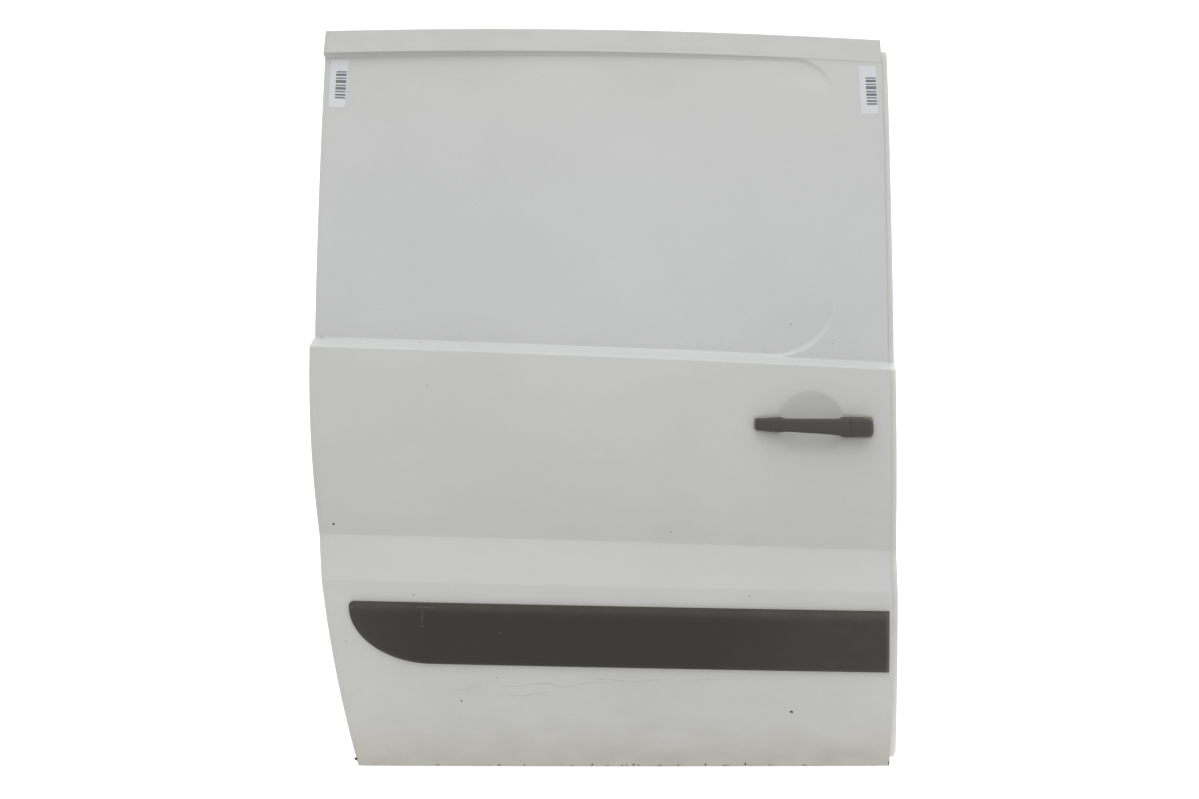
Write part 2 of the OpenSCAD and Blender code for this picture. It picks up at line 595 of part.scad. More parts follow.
// Rounded section: a squared circle between the station's faces, flat where it sits
function section_at(s) = [for (k = [0 : 11]) let (a = 15 + 30 * k, c = cos(a), q = sin(a),
    u = sign(c) * pow(abs(c), 0.55), v = sign(q) * pow(abs(q), 0.55))
    [s[0], -pad_t - (s[3] + s[4]) / 2 - (s[3] - s[4]) / 2 * u, (s[1] + s[2]) / 2 + (s[1] - s[2]) / 2 * v]];
module loft(stations) {
    n = 12;
    m = len(stations);
    pts = [for (s = stations) each section_at(s)];
    polyhedron(pts, concat([[for (k = [0 : n - 1]) n - 1 - k]],
        [for (i = [0 : m - 2]) for (k = [0 : n - 1]) let (a = i * n + k, b = i * n + (k + 1) % n)
            each [[a, b, b + n], [a, b + n, a + n]]],
        [[for (k = [0 : n - 1]) (m - 1) * n + k]]), convexity = 4);
}
lug_x = [grip_front - 9, grip_front - 3];
module handle_grip() on_handle() color("darkslategray") difference() {
    union() {
        loft(grip_stations);
        block(pivot_x - 5, pivot_x + 5, -pad_t - 8, pivot_depth, grip_hook[2] + 4, grip_hook[3] - 4);
        rod(pivot_x, pivot_depth, grip_hook[2] + 4, grip_hook[3] - 4, 6.5);
        block(lug_x[0], lug_x[1], -pad_t - 12, 17, -4, 4);
    }
    rod(pivot_x, pivot_depth, grip_hook[2], grip_hook[3], pin_r + 0.05);
}
pin_r = 3;
module handle_cap() on_handle() color("darkslategray") loft(cap_stations);
module handle_pads() on_handle() color("tan") difference() {
    slab(-pad_t, 0) {
        polygon([[-grip_rear - 1.5, -5.5], [1 - grip_rear, -8.3], [-58, -12.6], [-58, handle_top + 0.4],
            [1 - grip_rear, 13.4], [-grip_rear - 1.5, 11]]);
        rounded(54, cap_x1 + 1, handle_foot - 0.5, handle_top + 0.4, 6);
    }
    block(grip_hook[0], grip_hook[1], -5, 5, grip_hook[2] + 0.5, grip_hook[3]);
    block(50, grip_slot[1], -5, 5, grip_slot[2], grip_slot[3]);
}
module handle_pivot_block() on_handle() color("dimgray") difference() {
    block(pivot_x - 18, pivot_x + 20, skin_t + 0.2, pivot_depth + 9, -15, 15);
    block(grip_hook[0], grip_hook[1], 0, pivot_depth + 20, grip_hook[2], grip_hook[3]);
    rod(pivot_x, pivot_depth, -20, 20, pin_r);
}
module handle_pivot_pin() on_handle() color("silver") rod(pivot_x, pivot_depth, -14, 14, pin_r);
module handle_guide_block() on_handle() color("dimgray") difference() {
    block(bowl_r + 2, grip_slot[1] + 16, skin_t + 0.3, 30, -15, 15);
    block(40, grip_slot[1], 0, 40, grip_slot[2], grip_slot[3]);
}

// Latches behind the mouths in the two side walls: a case with a forked claw on a pin
claw_in = 22;
claw_t = 8;
claw_pin_r = 4;
claw_z = mouth_z - 6;
rear_wall_x = rear_x(mouth_z - case_h / 2) + wall_in + frame_t + 1;
module between_x(a, b, y0, y1, z0, z1) block(min(a, b), max(a, b), y0, y1, z0, z1);
module latch_case(wall_x, way) {
    difference() {
        between_x(wall_x, wall_x + way * case_d, mouth_y - mouth_w / 2 - 11, panel_y,
            mouth_z - case_h / 2, mouth_z + case_h / 2);
        between_x(wall_x - way, wall_x + way * (case_d - 4), mouth_y - mouth_w / 2, mouth_y + mouth_w / 2,
            mouth_z - mouth_h / 2, mouth_z + mouth_h / 2);
        between_x(wall_x + way * 12, wall_x + way * (case_d + 1), mouth_y + mouth_w / 2 + 3, panel_y - 6,
            mouth_z - case_h / 2 + 8, mouth_z + case_h / 2 - 8);
    }
    wheel_y(wall_x + way * claw_in, mouth_y - mouth_w / 2 - 1, mouth_y + mouth_w / 2 + 1,
        claw_z, claw_pin_r);
}
module claw(wall_x, way) translate([wall_x + way * claw_in, mouth_y + claw_t / 2, claw_z]) rotate([90, 0, 0])
    linear_extrude(claw_t) difference() {
        circle(claw_r, $fn = 48);
        circle(claw_pin_r, $fn = 48);
        translate([min(0, -way * 20), claw_r / 3]) square([20, claw_r / 3]);
    }
module front_latch() placed() color("dimgray") latch_case(wall_x1, -1);
module rear_latch() placed() color("dimgray") latch_case(rear_wall_x, 1);
module front_claw() placed() color("silver") claw(wall_x1, -1);
module rear_claw() placed() color("silver") claw(rear_wall_x, 1);

// The release plate carries two levers that join the handles to the latches
release_x = handle_x - 278;
release_w = 160;
release_z = mouth_z - 20;
release_h = 80;
module release_plate() placed() color("silver") {
    block(release_x, release_x + release_w, panel_y - 4, panel_y, release_z, release_z + release_h);
    for (x = [release_x + 30, release_x + release_w - 30])
        wheel_y(x, panel_y - 18, panel_y - 4, release_z + release_h / 2, 9);
    block(release_x + 25, release_x + release_w - 25, panel_y - 14, panel_y - 11,
        release_z + release_h / 2 - 8, release_z + release_h / 2 + 8);
}

// Inner handle on the cabin side: a rimmed dish with a lever across it
bezel_x1 = door_w - inner_in;
bezel_x0 = bezel_x1 - bezel_w;
rim = 6;
dish_d = 14;
module inner_handle_bezel() placed() color("darkslategray") difference() {
    slab(inner_y, inner_y + dish_d) rounded(bezel_x0, bezel_x1, bezel_z, bezel_z + bezel_h, 14);
    slab(inner_y + 3, inner_y + dish_d + 6)
        rounded(bezel_x0 + rim, bezel_x1 - rim, bezel_z + rim, bezel_z + bezel_h - rim, 14 - rim);
}
module inner_handle_lever() placed() color("darkslategray") {
    wheel_y(bezel_x1 - 24, inner_y + 3, inner_y + 12, bezel_z + bezel_h / 2, 10);
    slab(inner_y + 8, inner_y + dish_d + 6)
        rounded(bezel_x0 + rim + 8, bezel_x1 - rim - 10,
            bezel_z + bezel_h * 0.35, bezel_z + bezel_h * 0.65, 8);
}

// Roller arms
upper_x = frame_x1 - upper_in;
upper_h = (top_z(upper_x) - bend_z) / cos(panel_lean) - upper_drop;
upper_z = bend_z + upper_h * cos(panel_lean);
upper_y0 = panel_y + upper_h * sin(panel_lean) + frame_t;
module upper_arm() placed() color("dimgray") {
    leaned() block(upper_x - 32, upper_x + 14, frame_t, frame_t + 4, upper_h - 24, upper_h + 24);
    translate([0, 0, upper_z - arm_t / 2]) linear_extrude(arm_t) polygon([
        [upper_x - 28, upper_y0 + 3], [upper_x + 12, upper_y0 + 3],
        [upper_x + 4, upper_y0 + upper_reach], [upper_x - 20, upper_y0 + upper_reach]]);
    rod(upper_x - 8, upper_y0 + upper_reach - 12, upper_z, upper_z + arm_t / 2 + 3 + 14, 4);
}
module upper_roller() placed() color("black") difference() {
    rod(upper_x - 8, upper_y0 + upper_reach - 12, upper_z + arm_t / 2 + 2, upper_z + arm_t / 2 + 16,
        guide_r);
    rod(upper_x - 8, upper_y0 + upper_reach - 12, upper_z, upper_z + 60, 4);
}
end_y = inner_y + lower_reach;
module lower_arm() placed() color("dimgray") {
    block(arm_x - 45, arm_x + 45, inner_y, inner_y + arm_t, lower_arm_z - 50, lower_arm_z + 40);
    translate([0, 0, lower_arm_z - arm_t]) linear_extrude(arm_t) polygon([[arm_x - 40, inner_y + arm_t],
        [arm_x + 40, inner_y + arm_t], [arm_x + 30, end_y - 20], [arm_x + 22, end_y], [arm_x - 52, end_y],
        [arm_x - 60, end_y - 20]]);
    for (w = [-1, 1]) translate([0, 0, lower_arm_z - arm_t - 9]) linear_extrude(9.5) polygon([
        [arm_x + w * 40, inner_y + arm_t], [arm_x + w * 36, inner_y + arm_t],
        [arm_x + w * 41 - 15, end_y - 30], [arm_x + w * 45 - 15, end_y - 30]]);
    for (x = [arm_x - 46, arm_x + 12]) rod(x, end_y - 16, lower_arm_z - arm_t - 18, lower_arm_z - arm_t, 4);
    block(arm_x - 27, arm_x - 7, end_y - 36, end_y - 32, lower_arm_z - arm_t - 34, lower_arm_z - arm_t);
    wheel_y(arm_x - 17, end_y - 32, end_y - 14, lower_arm_z - arm_t - 24, 5);
}
module lower_guide_rollers() placed() color("black") for (x = [arm_x - 46, arm_x + 12]) difference() {
    rod(x, end_y - 16, lower_arm_z - arm_t - 16, lower_arm_z - arm_t - 2, guide_r);
    rod(x, end_y - 16, lower_arm_z - 60, lower_arm_z, 4);
}
module lower_load_roller() placed() color("black") difference() {
    wheel_y(arm_x - 17, end_y - 30, end_y - 16, lower_arm_z - arm_t - 24, load_r);
    wheel_y(arm_x - 17, end_y - 60, end_y + 60, lower_arm_z - arm_t - 24, 5);
}
hinge_y = inner_y + 28;
module hinge_bracket() placed() color("dimgray") difference() {
    union() {
        block(hinge_x - 30, hinge_x + 40, inner_y, inner_y + 5, hinge_z - 45, hinge_z + 42);
        for (z = [hinge_z - 36, hinge_z + 30])
            translate([0, 0, z]) linear_extrude(6) union() {
                translate([hinge_x, hinge_y]) circle(13, $fn = 48);
                translate([hinge_x - 13, inner_y + 4]) square([26, hinge_y - inner_y - 4]);
            }
    }
    rod(hinge_x, hinge_y, hinge_z - 60, hinge_z + 60, hinge_pin_r);
}
module hinge_pin() placed() color("silver") rod(hinge_x, hinge_y, hinge_z - 40, hinge_z + 40, hinge_pin_r);
module hinge_arm() placed() color("dimgray") difference() {
    union() {
        rod(hinge_x, hinge_y, hinge_z - 29, hinge_z + 29, 11);
        translate([0, 0, hinge_z - 6]) linear_extrude(12) polygon([
            [hinge_x - 9, hinge_y], [hinge_x + 9, hinge_y],
            [hinge_x + 16, hinge_y + 74], [hinge_x - 22, hinge_y + 74]]);
        block(hinge_x - 40, hinge_x + 34, hinge_y + 66, hinge_y + 84, hinge_z - 6, hinge_z);
        for (x = [hinge_x - 30, hinge_x + 24]) rod(x, hinge_y + 75, hinge_z - 24, hinge_z - 6, 4);
        wheel_y(hinge_x - 3, hinge_y + 70, hinge_y + 94, hinge_z - 8, 5);
    }
    rod(hinge_x, hinge_y, hinge_z - 60, hinge_z + 60, hinge_pin_r);
}
module hinge_guide_rollers() placed() color("black") for (x = [hinge_x - 30, hinge_x + 24]) difference() {
    rod(x, hinge_y + 75, hinge_z - 22, hinge_z - 8, guide_r * 0.75);
    rod(x, hinge_y + 75, hinge_z - 60, hinge_z + 60, 4);
}
module hinge_load_roller() placed() color("black") difference() {
    wheel_y(hinge_x - 3, hinge_y + 85, hinge_y + 94, hinge_z - 8, load_r * 0.9);
    wheel_y(hinge_x - 3, hinge_y, hinge_y + 130, hinge_z - 8, 5);
}

// Small rubber parts on the inner face
buffer_in = 40;
module rubber_buffers() placed() color("black")
    for (p = [[0, access_foot + 70], [0, trim_z], [1, access_foot + 140], [1, trim_z + 10]]) {
        x = p[0] == 0 ? rear_x(p[1]) + buffer_in : door_w - buffer_in;
        wheel_y(x, inner_y, inner_y + 5, p[1], 13);
        wheel_y(x, inner_y, inner_y + 10, p[1], 9);
    }
module hole_plugs() placed() color("black") for (p = plug_places) {
    wheel_y(p[0], inner_y, inner_y + 2.5, p[1], plug_r + 2);
    wheel_y(p[0], panel_y - 2, inner_y, p[1], plug_r);
}

outer_skin();
window_frame();
inner_panel();
front_flange();
waist_rail();
crash_beam();
beam_brackets();
damping_pads();
side_moulding();
handle_pads();
handle_grip();
handle_cap();
handle_pivot_block();
handle_pivot_pin();
handle_guide_block();
front_latch();
front_claw();
rear_latch();
rear_claw();
release_plate();
inner_handle_bezel();
inner_handle_lever();
upper_arm();
upper_roller();
lower_arm();
lower_guide_rollers();
lower_load_roller();
hinge_bracket();
hinge_pin();
hinge_arm();
hinge_guide_rollers();
hinge_load_roller();
rubber_buffers();
hole_plugs();
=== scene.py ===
"""Sliding side door of a panel van: weathered white paint, grained side moulding and pull handle."""
import json
import math

import bpy
import numpy as np
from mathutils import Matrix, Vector


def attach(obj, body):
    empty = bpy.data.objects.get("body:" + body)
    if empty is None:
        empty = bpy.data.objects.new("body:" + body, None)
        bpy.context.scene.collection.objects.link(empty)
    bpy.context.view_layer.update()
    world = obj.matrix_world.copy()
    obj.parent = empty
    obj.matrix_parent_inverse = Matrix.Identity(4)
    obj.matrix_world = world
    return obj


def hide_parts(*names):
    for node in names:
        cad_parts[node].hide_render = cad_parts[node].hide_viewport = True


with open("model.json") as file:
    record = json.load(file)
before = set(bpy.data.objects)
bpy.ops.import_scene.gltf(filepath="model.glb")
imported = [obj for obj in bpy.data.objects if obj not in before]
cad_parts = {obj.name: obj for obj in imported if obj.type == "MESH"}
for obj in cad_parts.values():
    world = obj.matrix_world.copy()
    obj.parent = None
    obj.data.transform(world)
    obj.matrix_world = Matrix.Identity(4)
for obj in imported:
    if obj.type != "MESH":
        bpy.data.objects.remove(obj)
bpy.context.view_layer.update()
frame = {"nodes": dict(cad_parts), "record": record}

# Sizes of the door in mm, from its lower rear corner: x forward, y into the van, z up
DOOR_W, DOOR_H = 1063.0, 1385.0
TOP_RADIUS, CROWN_X = 14500.0, 250.0
ARCH_RADIUS, ARCH_Z = 3850.0, 805.0
PLAN_RADIUS = 25000.0
TOP_BAND_H = 46.5
BELT_REAR_Z, BELT_FALL, BELT_H, BELT_OUT = 773.0, 0.042, 11.5, 21.0
LINE_CROWN = 3.0
FLARE_TOP_Z, FLARE_TOP_FALL = 428.5, 0.0305
FLARE_FOOT_Z, FLARE_FOOT_FALL, FLARE_OUT = 347.0, 0.0225, 18.0
# Slopes of the section in degrees
LEAN_BELT, LEAN_CREASE, LEAN_BAND = 4.5, 11.0, 20.0
BODY_TOP_SLOPE, BODY_FOOT_SLOPE, SILL_TOP_SLOPE, SILL_SLOPE = 7.0, 5.5, 0.7, 11.3
RECESS_D, RECESS_FRONT_D, RECESS_X, RECESS_WALL = 13.0, 3.0, 974.0, 9.0
RECESS_TOP_R, RECESS_FOOT_R, RECESS_FOOT_STEEP = 78.0, 129.0, 1.25
# The recess fades by this share over three stretches: along the door, above the belt, below the crease
RECESS_FADE, RECESS_FADE_X, RECESS_FADE_UP, RECESS_FADE_DOWN = 0.9, (830, 965), (35, 120), (15, 75)
HANDLE_X, HANDLE_Z, BOWL_R, BOWL_D = 918.0, 625.0, 61.0, 14.3
# Seats round the handle's ends, from the bowl's centre: where each outline tapers, its heights, its end
SEAT_D, SEAT_WALL, SEAT_GAP, SEAT_RUNOUT = 1.1, (-2.4, 0.8), 30.0, 2.5
SEAT_REAR_U, SEAT_REAR_TOP, SEAT_REAR_FOOT, SEAT_REAR_END = (-104, -60), (16.0, 19.0), (-8.5, -14.5), -106.0
SEAT_FRONT_U, SEAT_FRONT_TOP, SEAT_FRONT_FOOT, SEAT_FRONT_END = (60, 113), (19.5, 17.5), -22.0, 114.0
SKIN_T, HEM_T, HEM_W = 1.0, 3.0, 16.0
MOULD_TOP_Z, MOULD_FALL, MOULD_H, MOULD_T = 310.8, 0.0205, 112.0, 9.0
MOULD_X0, MOULD_SWEEP, MOULD_X1, MOULD_TIP_R = 78.0, 150.0, 1058.0, 9.0
GRIP_REAR, GRIP_FRONT, SEAM, CAP_LEN = 102.0, 68.0, 0.4, 43.1
GRIP_OUT, GRIP_T, PAD_T, HANDLE_TOP, HANDLE_FOOT = 30.0, 14.0, 1.5, 15.6, -20.9
# The row frame's origin, as seen from the door's lower rear corner
ORIGIN = np.array([960.0, 166.2, 80.0])
MM_PER_M = 1000.0


def to_row(points):
    """Door millimetres to metres in the row frame."""
    return (np.asarray(points, float) - ORIGIN) / MM_PER_M


# The form of the outer panel
def tand(a):
    """Tangent of an angle in degrees."""
    return math.tan(math.radians(a))


def top_z(x):
    """Top edge: a parabola as flat as an arc of TOP_RADIUS, highest at CROWN_X."""
    return DOOR_H - (x - CROWN_X) ** 2 / (2 * TOP_RADIUS)


def crease_z(x):
    """Crease below the top band, as far under the top edge all along."""
    return top_z(x) - TOP_BAND_H


def line_crown(x):
    """Rise of the long pressed lines in the middle of the door, a parabola that is nil at both edges."""
    return LINE_CROWN * 4 * x * (DOOR_W - x) / DOOR_W ** 2


def belt_foot(x):
    """Lower line of the belt: a straight fall forward with the crown added."""
    return BELT_REAR_Z - BELT_FALL * x + line_crown(x)


def belt_top(x):
    """Upper line of the belt, as far above the lower one all along."""
    return belt_foot(x) + BELT_H


def flare_top(x):
    """Upper line of the flare: a straight fall forward with the crown added."""
    return FLARE_TOP_Z - FLARE_TOP_FALL * x + line_crown(x)


def flare_foot(x):
    """Lower line of the flare: a straight fall forward."""
    return FLARE_FOOT_Z - FLARE_FOOT_FALL * x


def mould_top(x):
    """Top of the side moulding: a straight fall forward."""
    return MOULD_TOP_Z - MOULD_FALL * x


def rear_x(z):
    """Rear edge: upright above the arch height, an arc of ARCH_RADIUS that turns forward below it."""
    drop = np.maximum(0.0, ARCH_Z - z)
    return ARCH_RADIUS - np.sqrt(ARCH_RADIUS ** 2 - drop ** 2)


def bow(a, b, h, s):
    """Depth of a curve that leaves at slope a and ends at slope b over the length h, at distance s."""
    return tand(a) * s + (tand(b) - tand(a)) * s * s / (2 * h)


def section_y(x, z):
    """Depth of the plain section: sill, flare, body, belt shelf, upper panel and top band, from below."""
    ff, ft, bf, bt, cz = flare_foot(x), flare_top(x), belt_foot(x), belt_top(x), crease_z(x)

    def body(at):
        return -BELT_OUT + bow(-BODY_TOP_SLOPE, BODY_FOOT_SLOPE, bf - ft, bf - at)

    def upper(at):
        return bow(LEAN_BELT, LEAN_CREASE, cz - bt, at - bt)

    flare = body(ft) - FLARE_OUT
    return np.select(
        [z < ff, z < ft, z < bf, z < bt, z < cz],
        [flare + bow(-SILL_TOP_SLOPE, SILL_SLOPE, ff, ff - z),
         flare + FLARE_OUT * (z - ff) / (ft - ff),
         body(z),
         -BELT_OUT * (bt - z) / BELT_H,
         upper(z)],
        upper(cz) + tand(LEAN_BAND) * (z - cz))


def soft_section_y(x, z, window=2.6):
    """The section averaged over a short window, which rounds every pressed line as a press does."""
    offsets = np.linspace(-window, window, 9)
    weights = 1 - (offsets / (window * 1.25)) ** 2
    return sum(w * section_y(x, z + o) for w, o in zip(weights, offsets)) / weights.sum()


def ramp(a, b, v):
    """Smooth rise from 0 at a to 1 at b: three times the square of the share, less twice its cube."""
    t = np.clip((v - a) / (b - a), 0, 1)
    return t * t * (3 - 2 * t)


def pressed_rise(t, soft=0.22):
    """Straight rise from 0 to 1 with a parabola at each end, as a pressed wall has."""
    t = np.clip(t, 0, 1)
    later = np.where(t > 1 - soft, 1 - soft - (1 - t) ** 2 / (2 * soft), t - soft / 2)
    return np.where(t < soft, t * t / (2 * soft), later) / (1 - soft)


def corner(u, v, r):
    """Distance from two straight edges joined by a round corner of radius r, negative inside."""
    return np.where((u > -r) & (v > -r), np.hypot(u + r, v + r) - r, np.maximum(u, v))


def recess_y(x, z):
    """Depth of the blind window recess: it falls straight from the open rear end forward, and pressed walls
    with round corners close it over RECESS_WALL."""
    depth = RECESS_FRONT_D + (RECESS_D - RECESS_FRONT_D) * np.maximum(0, 1 - x / RECESS_X)
    up, down = z - belt_top(x), crease_z(x) - z
    depth = depth * (1 - RECESS_FADE * ramp(*RECESS_FADE_X, x) * ramp(*RECESS_FADE_UP, up)
                     * ramp(*RECESS_FADE_DOWN, down))
    edge = np.maximum(corner(x - RECESS_X, z - crease_z(x), RECESS_TOP_R),
                      corner(x - RECESS_X, belt_top(x) - z, RECESS_FOOT_R) * RECESS_FOOT_STEEP)
    return depth * (1 - pressed_rise(1 + edge / RECESS_WALL))


def bowl_y(x, z, lip=1.3):
    """Part of a sphere, joined to the panel by a hyperbola as wide as the lip and faded outside the rim."""
    sphere = (BOWL_R ** 2 + BOWL_D ** 2) / (2 * BOWL_D)
    r = np.minimum(np.hypot(x - HANDLE_X, z - HANDLE_Z), sphere * 0.98)
    q = np.sqrt(sphere ** 2 - r ** 2) - sphere + BOWL_D
    return 0.5 * (q + np.sqrt(q * q + lip * lip)) * ramp(BOWL_R * 1.35, BOWL_R * 1.02, r)


def seat_y(x, z):
    """Shallow pressed seats round both ends of the handle: a small depth inside two tapered outlines."""
    u, w = x - HANDLE_X, z - HANDLE_Z
    rear = np.maximum.reduce([
        w - np.interp(u, SEAT_REAR_U, SEAT_REAR_TOP), np.interp(u, SEAT_REAR_U, SEAT_REAR_FOOT) - w,
        SEAT_REAR_END - u, u + SEAT_GAP])
    front = np.maximum.reduce([
        w - np.interp(u, SEAT_FRONT_U, SEAT_FRONT_TOP), SEAT_FRONT_FOOT - w,
        u - SEAT_FRONT_END, SEAT_GAP - u])
    return SEAT_D * (1 - ramp(*SEAT_WALL, np.minimum(rear, front)))


def plain_y(x, z):
    """Depth without recess, bowl or seats: the soft section and a parabola in plan as flat as PLAN_RADIUS."""
    return soft_section_y(x, z) + (x - DOOR_W / 2) ** 2 / (2 * PLAN_RADIUS)


def skin_y(x, z):
    """Full depth of the outer face: plain depth, recess, bowl, and the seats where the bowl is shallow."""
    bowl = bowl_y(x, z)
    return plain_y(x, z) + recess_y(x, z) + bowl + seat_y(x, z) * np.clip(1 - bowl / SEAT_RUNOUT, 0, 1)


# Mesh helpers
def make_mesh(name, shape, body, sharp=35.0):
    """A mesh object from row-frame points and arrays of four- and three-cornered faces, riding on a body."""
    points, quads, tris = shape
    mesh = bpy.data.meshes.new(name)
    mesh.vertices.add(len(points))
    mesh.vertices.foreach_set("co", np.asarray(points, np.float32).ravel())
    corners = np.concatenate([quads.ravel(), tris.ravel()]).astype(np.int32)
    starts = np.concatenate([np.arange(len(quads)) * 4, len(quads) * 4 + np.arange(len(tris)) * 3])
    mesh.loops.add(len(corners))
    mesh.loops.foreach_set("vertex_index", corners)
    mesh.polygons.add(len(starts))
    mesh.polygons.foreach_set("loop_start", starts.astype(np.int32))
    mesh.update(calc_edges=True)
    mesh.validate()
    mesh.polygons.foreach_set("use_smooth", np.ones(len(mesh.polygons), bool))
    mesh.set_sharp_from_angle(angle=math.radians(sharp))
    obj = bpy.data.objects.new(name, mesh)
    bpy.context.scene.collection.objects.link(obj)
    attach(obj, body)
    return obj


def joined(shapes):
    """Several shapes as one set of points and faces."""
    starts = np.concatenate([[0], np.cumsum([len(shape[0]) for shape in shapes])[:-1]]).astype(int)
    return (np.concatenate([shape[0] for shape in shapes]),
            np.concatenate([shape[1] + start for shape, start in zip(shapes, starts)]),
            np.concatenate([shape[2] + start for shape, start in zip(shapes, starts)]))


def grid_quads(rows, cols, close_cols=False):
    """Faces of a grid of rows x cols points, wound so that col x row is the outward side."""
    j = np.arange(rows - 1)[:, None]
    i = np.arange(cols if close_cols else cols - 1)[None, :]
    j1, i1 = j + 1, (i + 1) % cols
    return np.stack([j * cols + i, j * cols + i1, j1 * cols + i1, j1 * cols + i], -1).reshape(-1, 4)


def plate(front, back):
    """A closed plate between two grids of points, with a wall along each side of the grid."""
    rows, cols = front.shape[:2]
    n = rows * cols
    faces = grid_quads(rows, cols)
    cells = faces.reshape(rows - 1, cols - 1, 4)
    quads = [faces, faces[:, ::-1] + n]
    for e, a, b in ((cells[0], 0, 1), (cells[-1], 2, 3), (cells[:, 0], 3, 0), (cells[:, -1], 1, 2)):
        quads.append(np.stack([e[:, b], e[:, a], e[:, a] + n, e[:, b] + n], -1))
    points = np.concatenate([front.reshape(-1, 3), back.reshape(-1, 3)])
    return points, np.concatenate(quads), np.zeros((0, 3), int)


def loft(rings):
    """A closed form through rings of points, anticlockwise seen from the last, with a fan at each end."""
    count, around = rings.shape[:2]
    ends = np.stack([rings[0].mean(0), rings[-1].mean(0)])
    k = np.arange(around)
    k1 = (k + 1) % around
    top = (count - 1) * around
    first = np.stack([k1, k, np.full(around, count * around)], -1)
    last = np.stack([k + top, k1 + top, np.full(around, count * around + 1)], -1)
    points = np.concatenate([rings.reshape(-1, 3), ends])
    return points, grid_quads(count, around, close_cols=True), np.concatenate([first, last])


def add_layer(obj, name, values):
    """A number for each point of a mesh, which its material reads by name."""
    layer = obj.data.attributes.new(name, "FLOAT", "POINT")
    layer.data.foreach_set("value", np.asarray(values, np.float32).ravel())


# Outer panel
def spans(*stretches):
    """Even steps over several stretches, each given by its start, its end and its step."""
    return np.concatenate([np.arange(*stretch) for stretch in stretches])


def panel_grid():
    """Columns follow the rear edge's arc, rows follow the pressed lines, both closer where the form turns."""
    cols = np.unique(np.concatenate([
        np.arange(0, 5, 1.0), np.linspace(5, HEM_W - 1, 3), np.linspace(HEM_W, 812, 62),
        spans((812, 862, 2.5), (862, 960, 3.0), (960, 982, 2.0), (982, 1037, 2.7)),
        DOOR_W - np.array([HEM_W + 5, HEM_W, HEM_W - 1, 9]), np.linspace(DOOR_W - 5, DOOR_W, 5)]))
    at = np.array([HANDLE_X])
    line = [np.zeros(1), flare_foot(at), flare_top(at), belt_foot(at), belt_top(at), crease_z(at), top_z(at)]
    line = [float(v[0]) for v in line]
    # Rows between each pair of lines: sill, flare, body with the bowl, belt, recess with its walls, top band
    marks = [spans((18, line[1] - 12, 12.0)),
             spans((line[1] + 14, line[2] - 12, 9.0)),
             spans((line[2] + 14, 556, 10.0), (556, 602, 4.0), (602, 651, 2.2), (651, 692, 4.0),
                   (696, line[3] - 12, 8.0)),
             spans((line[3] + 5.5, line[4] - 5, 1.5)),
             spans((line[4] + 13, line[4] + 128, 3.0), (line[4] + 138, line[5] - 84, 12.0),
                   (line[5] - 82, line[5] - 12, 3.0)),
             spans((line[5] + 12, line[6] - 17, 5.0))]
    zone, share = [], []
    for k in range(6):
        height = line[k + 1] - line[k]
        near = np.concatenate([np.arange(0, 4.5, 0.8), np.arange(5, min(12.0, height / 2.2), 1.6)])
        rows = np.concatenate([near, marks[k] - line[k], height - near[1:], [height] if k == 5 else []])
        rows = np.unique(np.round(rows / height, 5))
        zone.append(np.full(len(rows), k))
        share.append(rows)
    zone, share = np.concatenate(zone), np.concatenate(share)

    def heights_at(x):
        lines = np.stack([
            np.zeros_like(x), flare_foot(x), flare_top(x), belt_foot(x), belt_top(x), crease_z(x), top_z(x)])
        low = np.take_along_axis(lines, zone[None, :, None], 0)[0]
        high = np.take_along_axis(lines, zone[None, :, None] + 1, 0)[0]
        return low + (high - low) * share[:, None]

    c = np.broadcast_to(cols, (len(zone), len(cols))).copy()
    z = heights_at(c)
    x = c + rear_x(z) * np.maximum(0, 1 - c / (DOOR_W / 2))
    return x, heights_at(x)


def edge_distance(x, z):
    """Distance in from the nearest edge of the panel."""
    return np.minimum.reduce([x - rear_x(z), DOOR_W - x, z, top_z(x) - z])


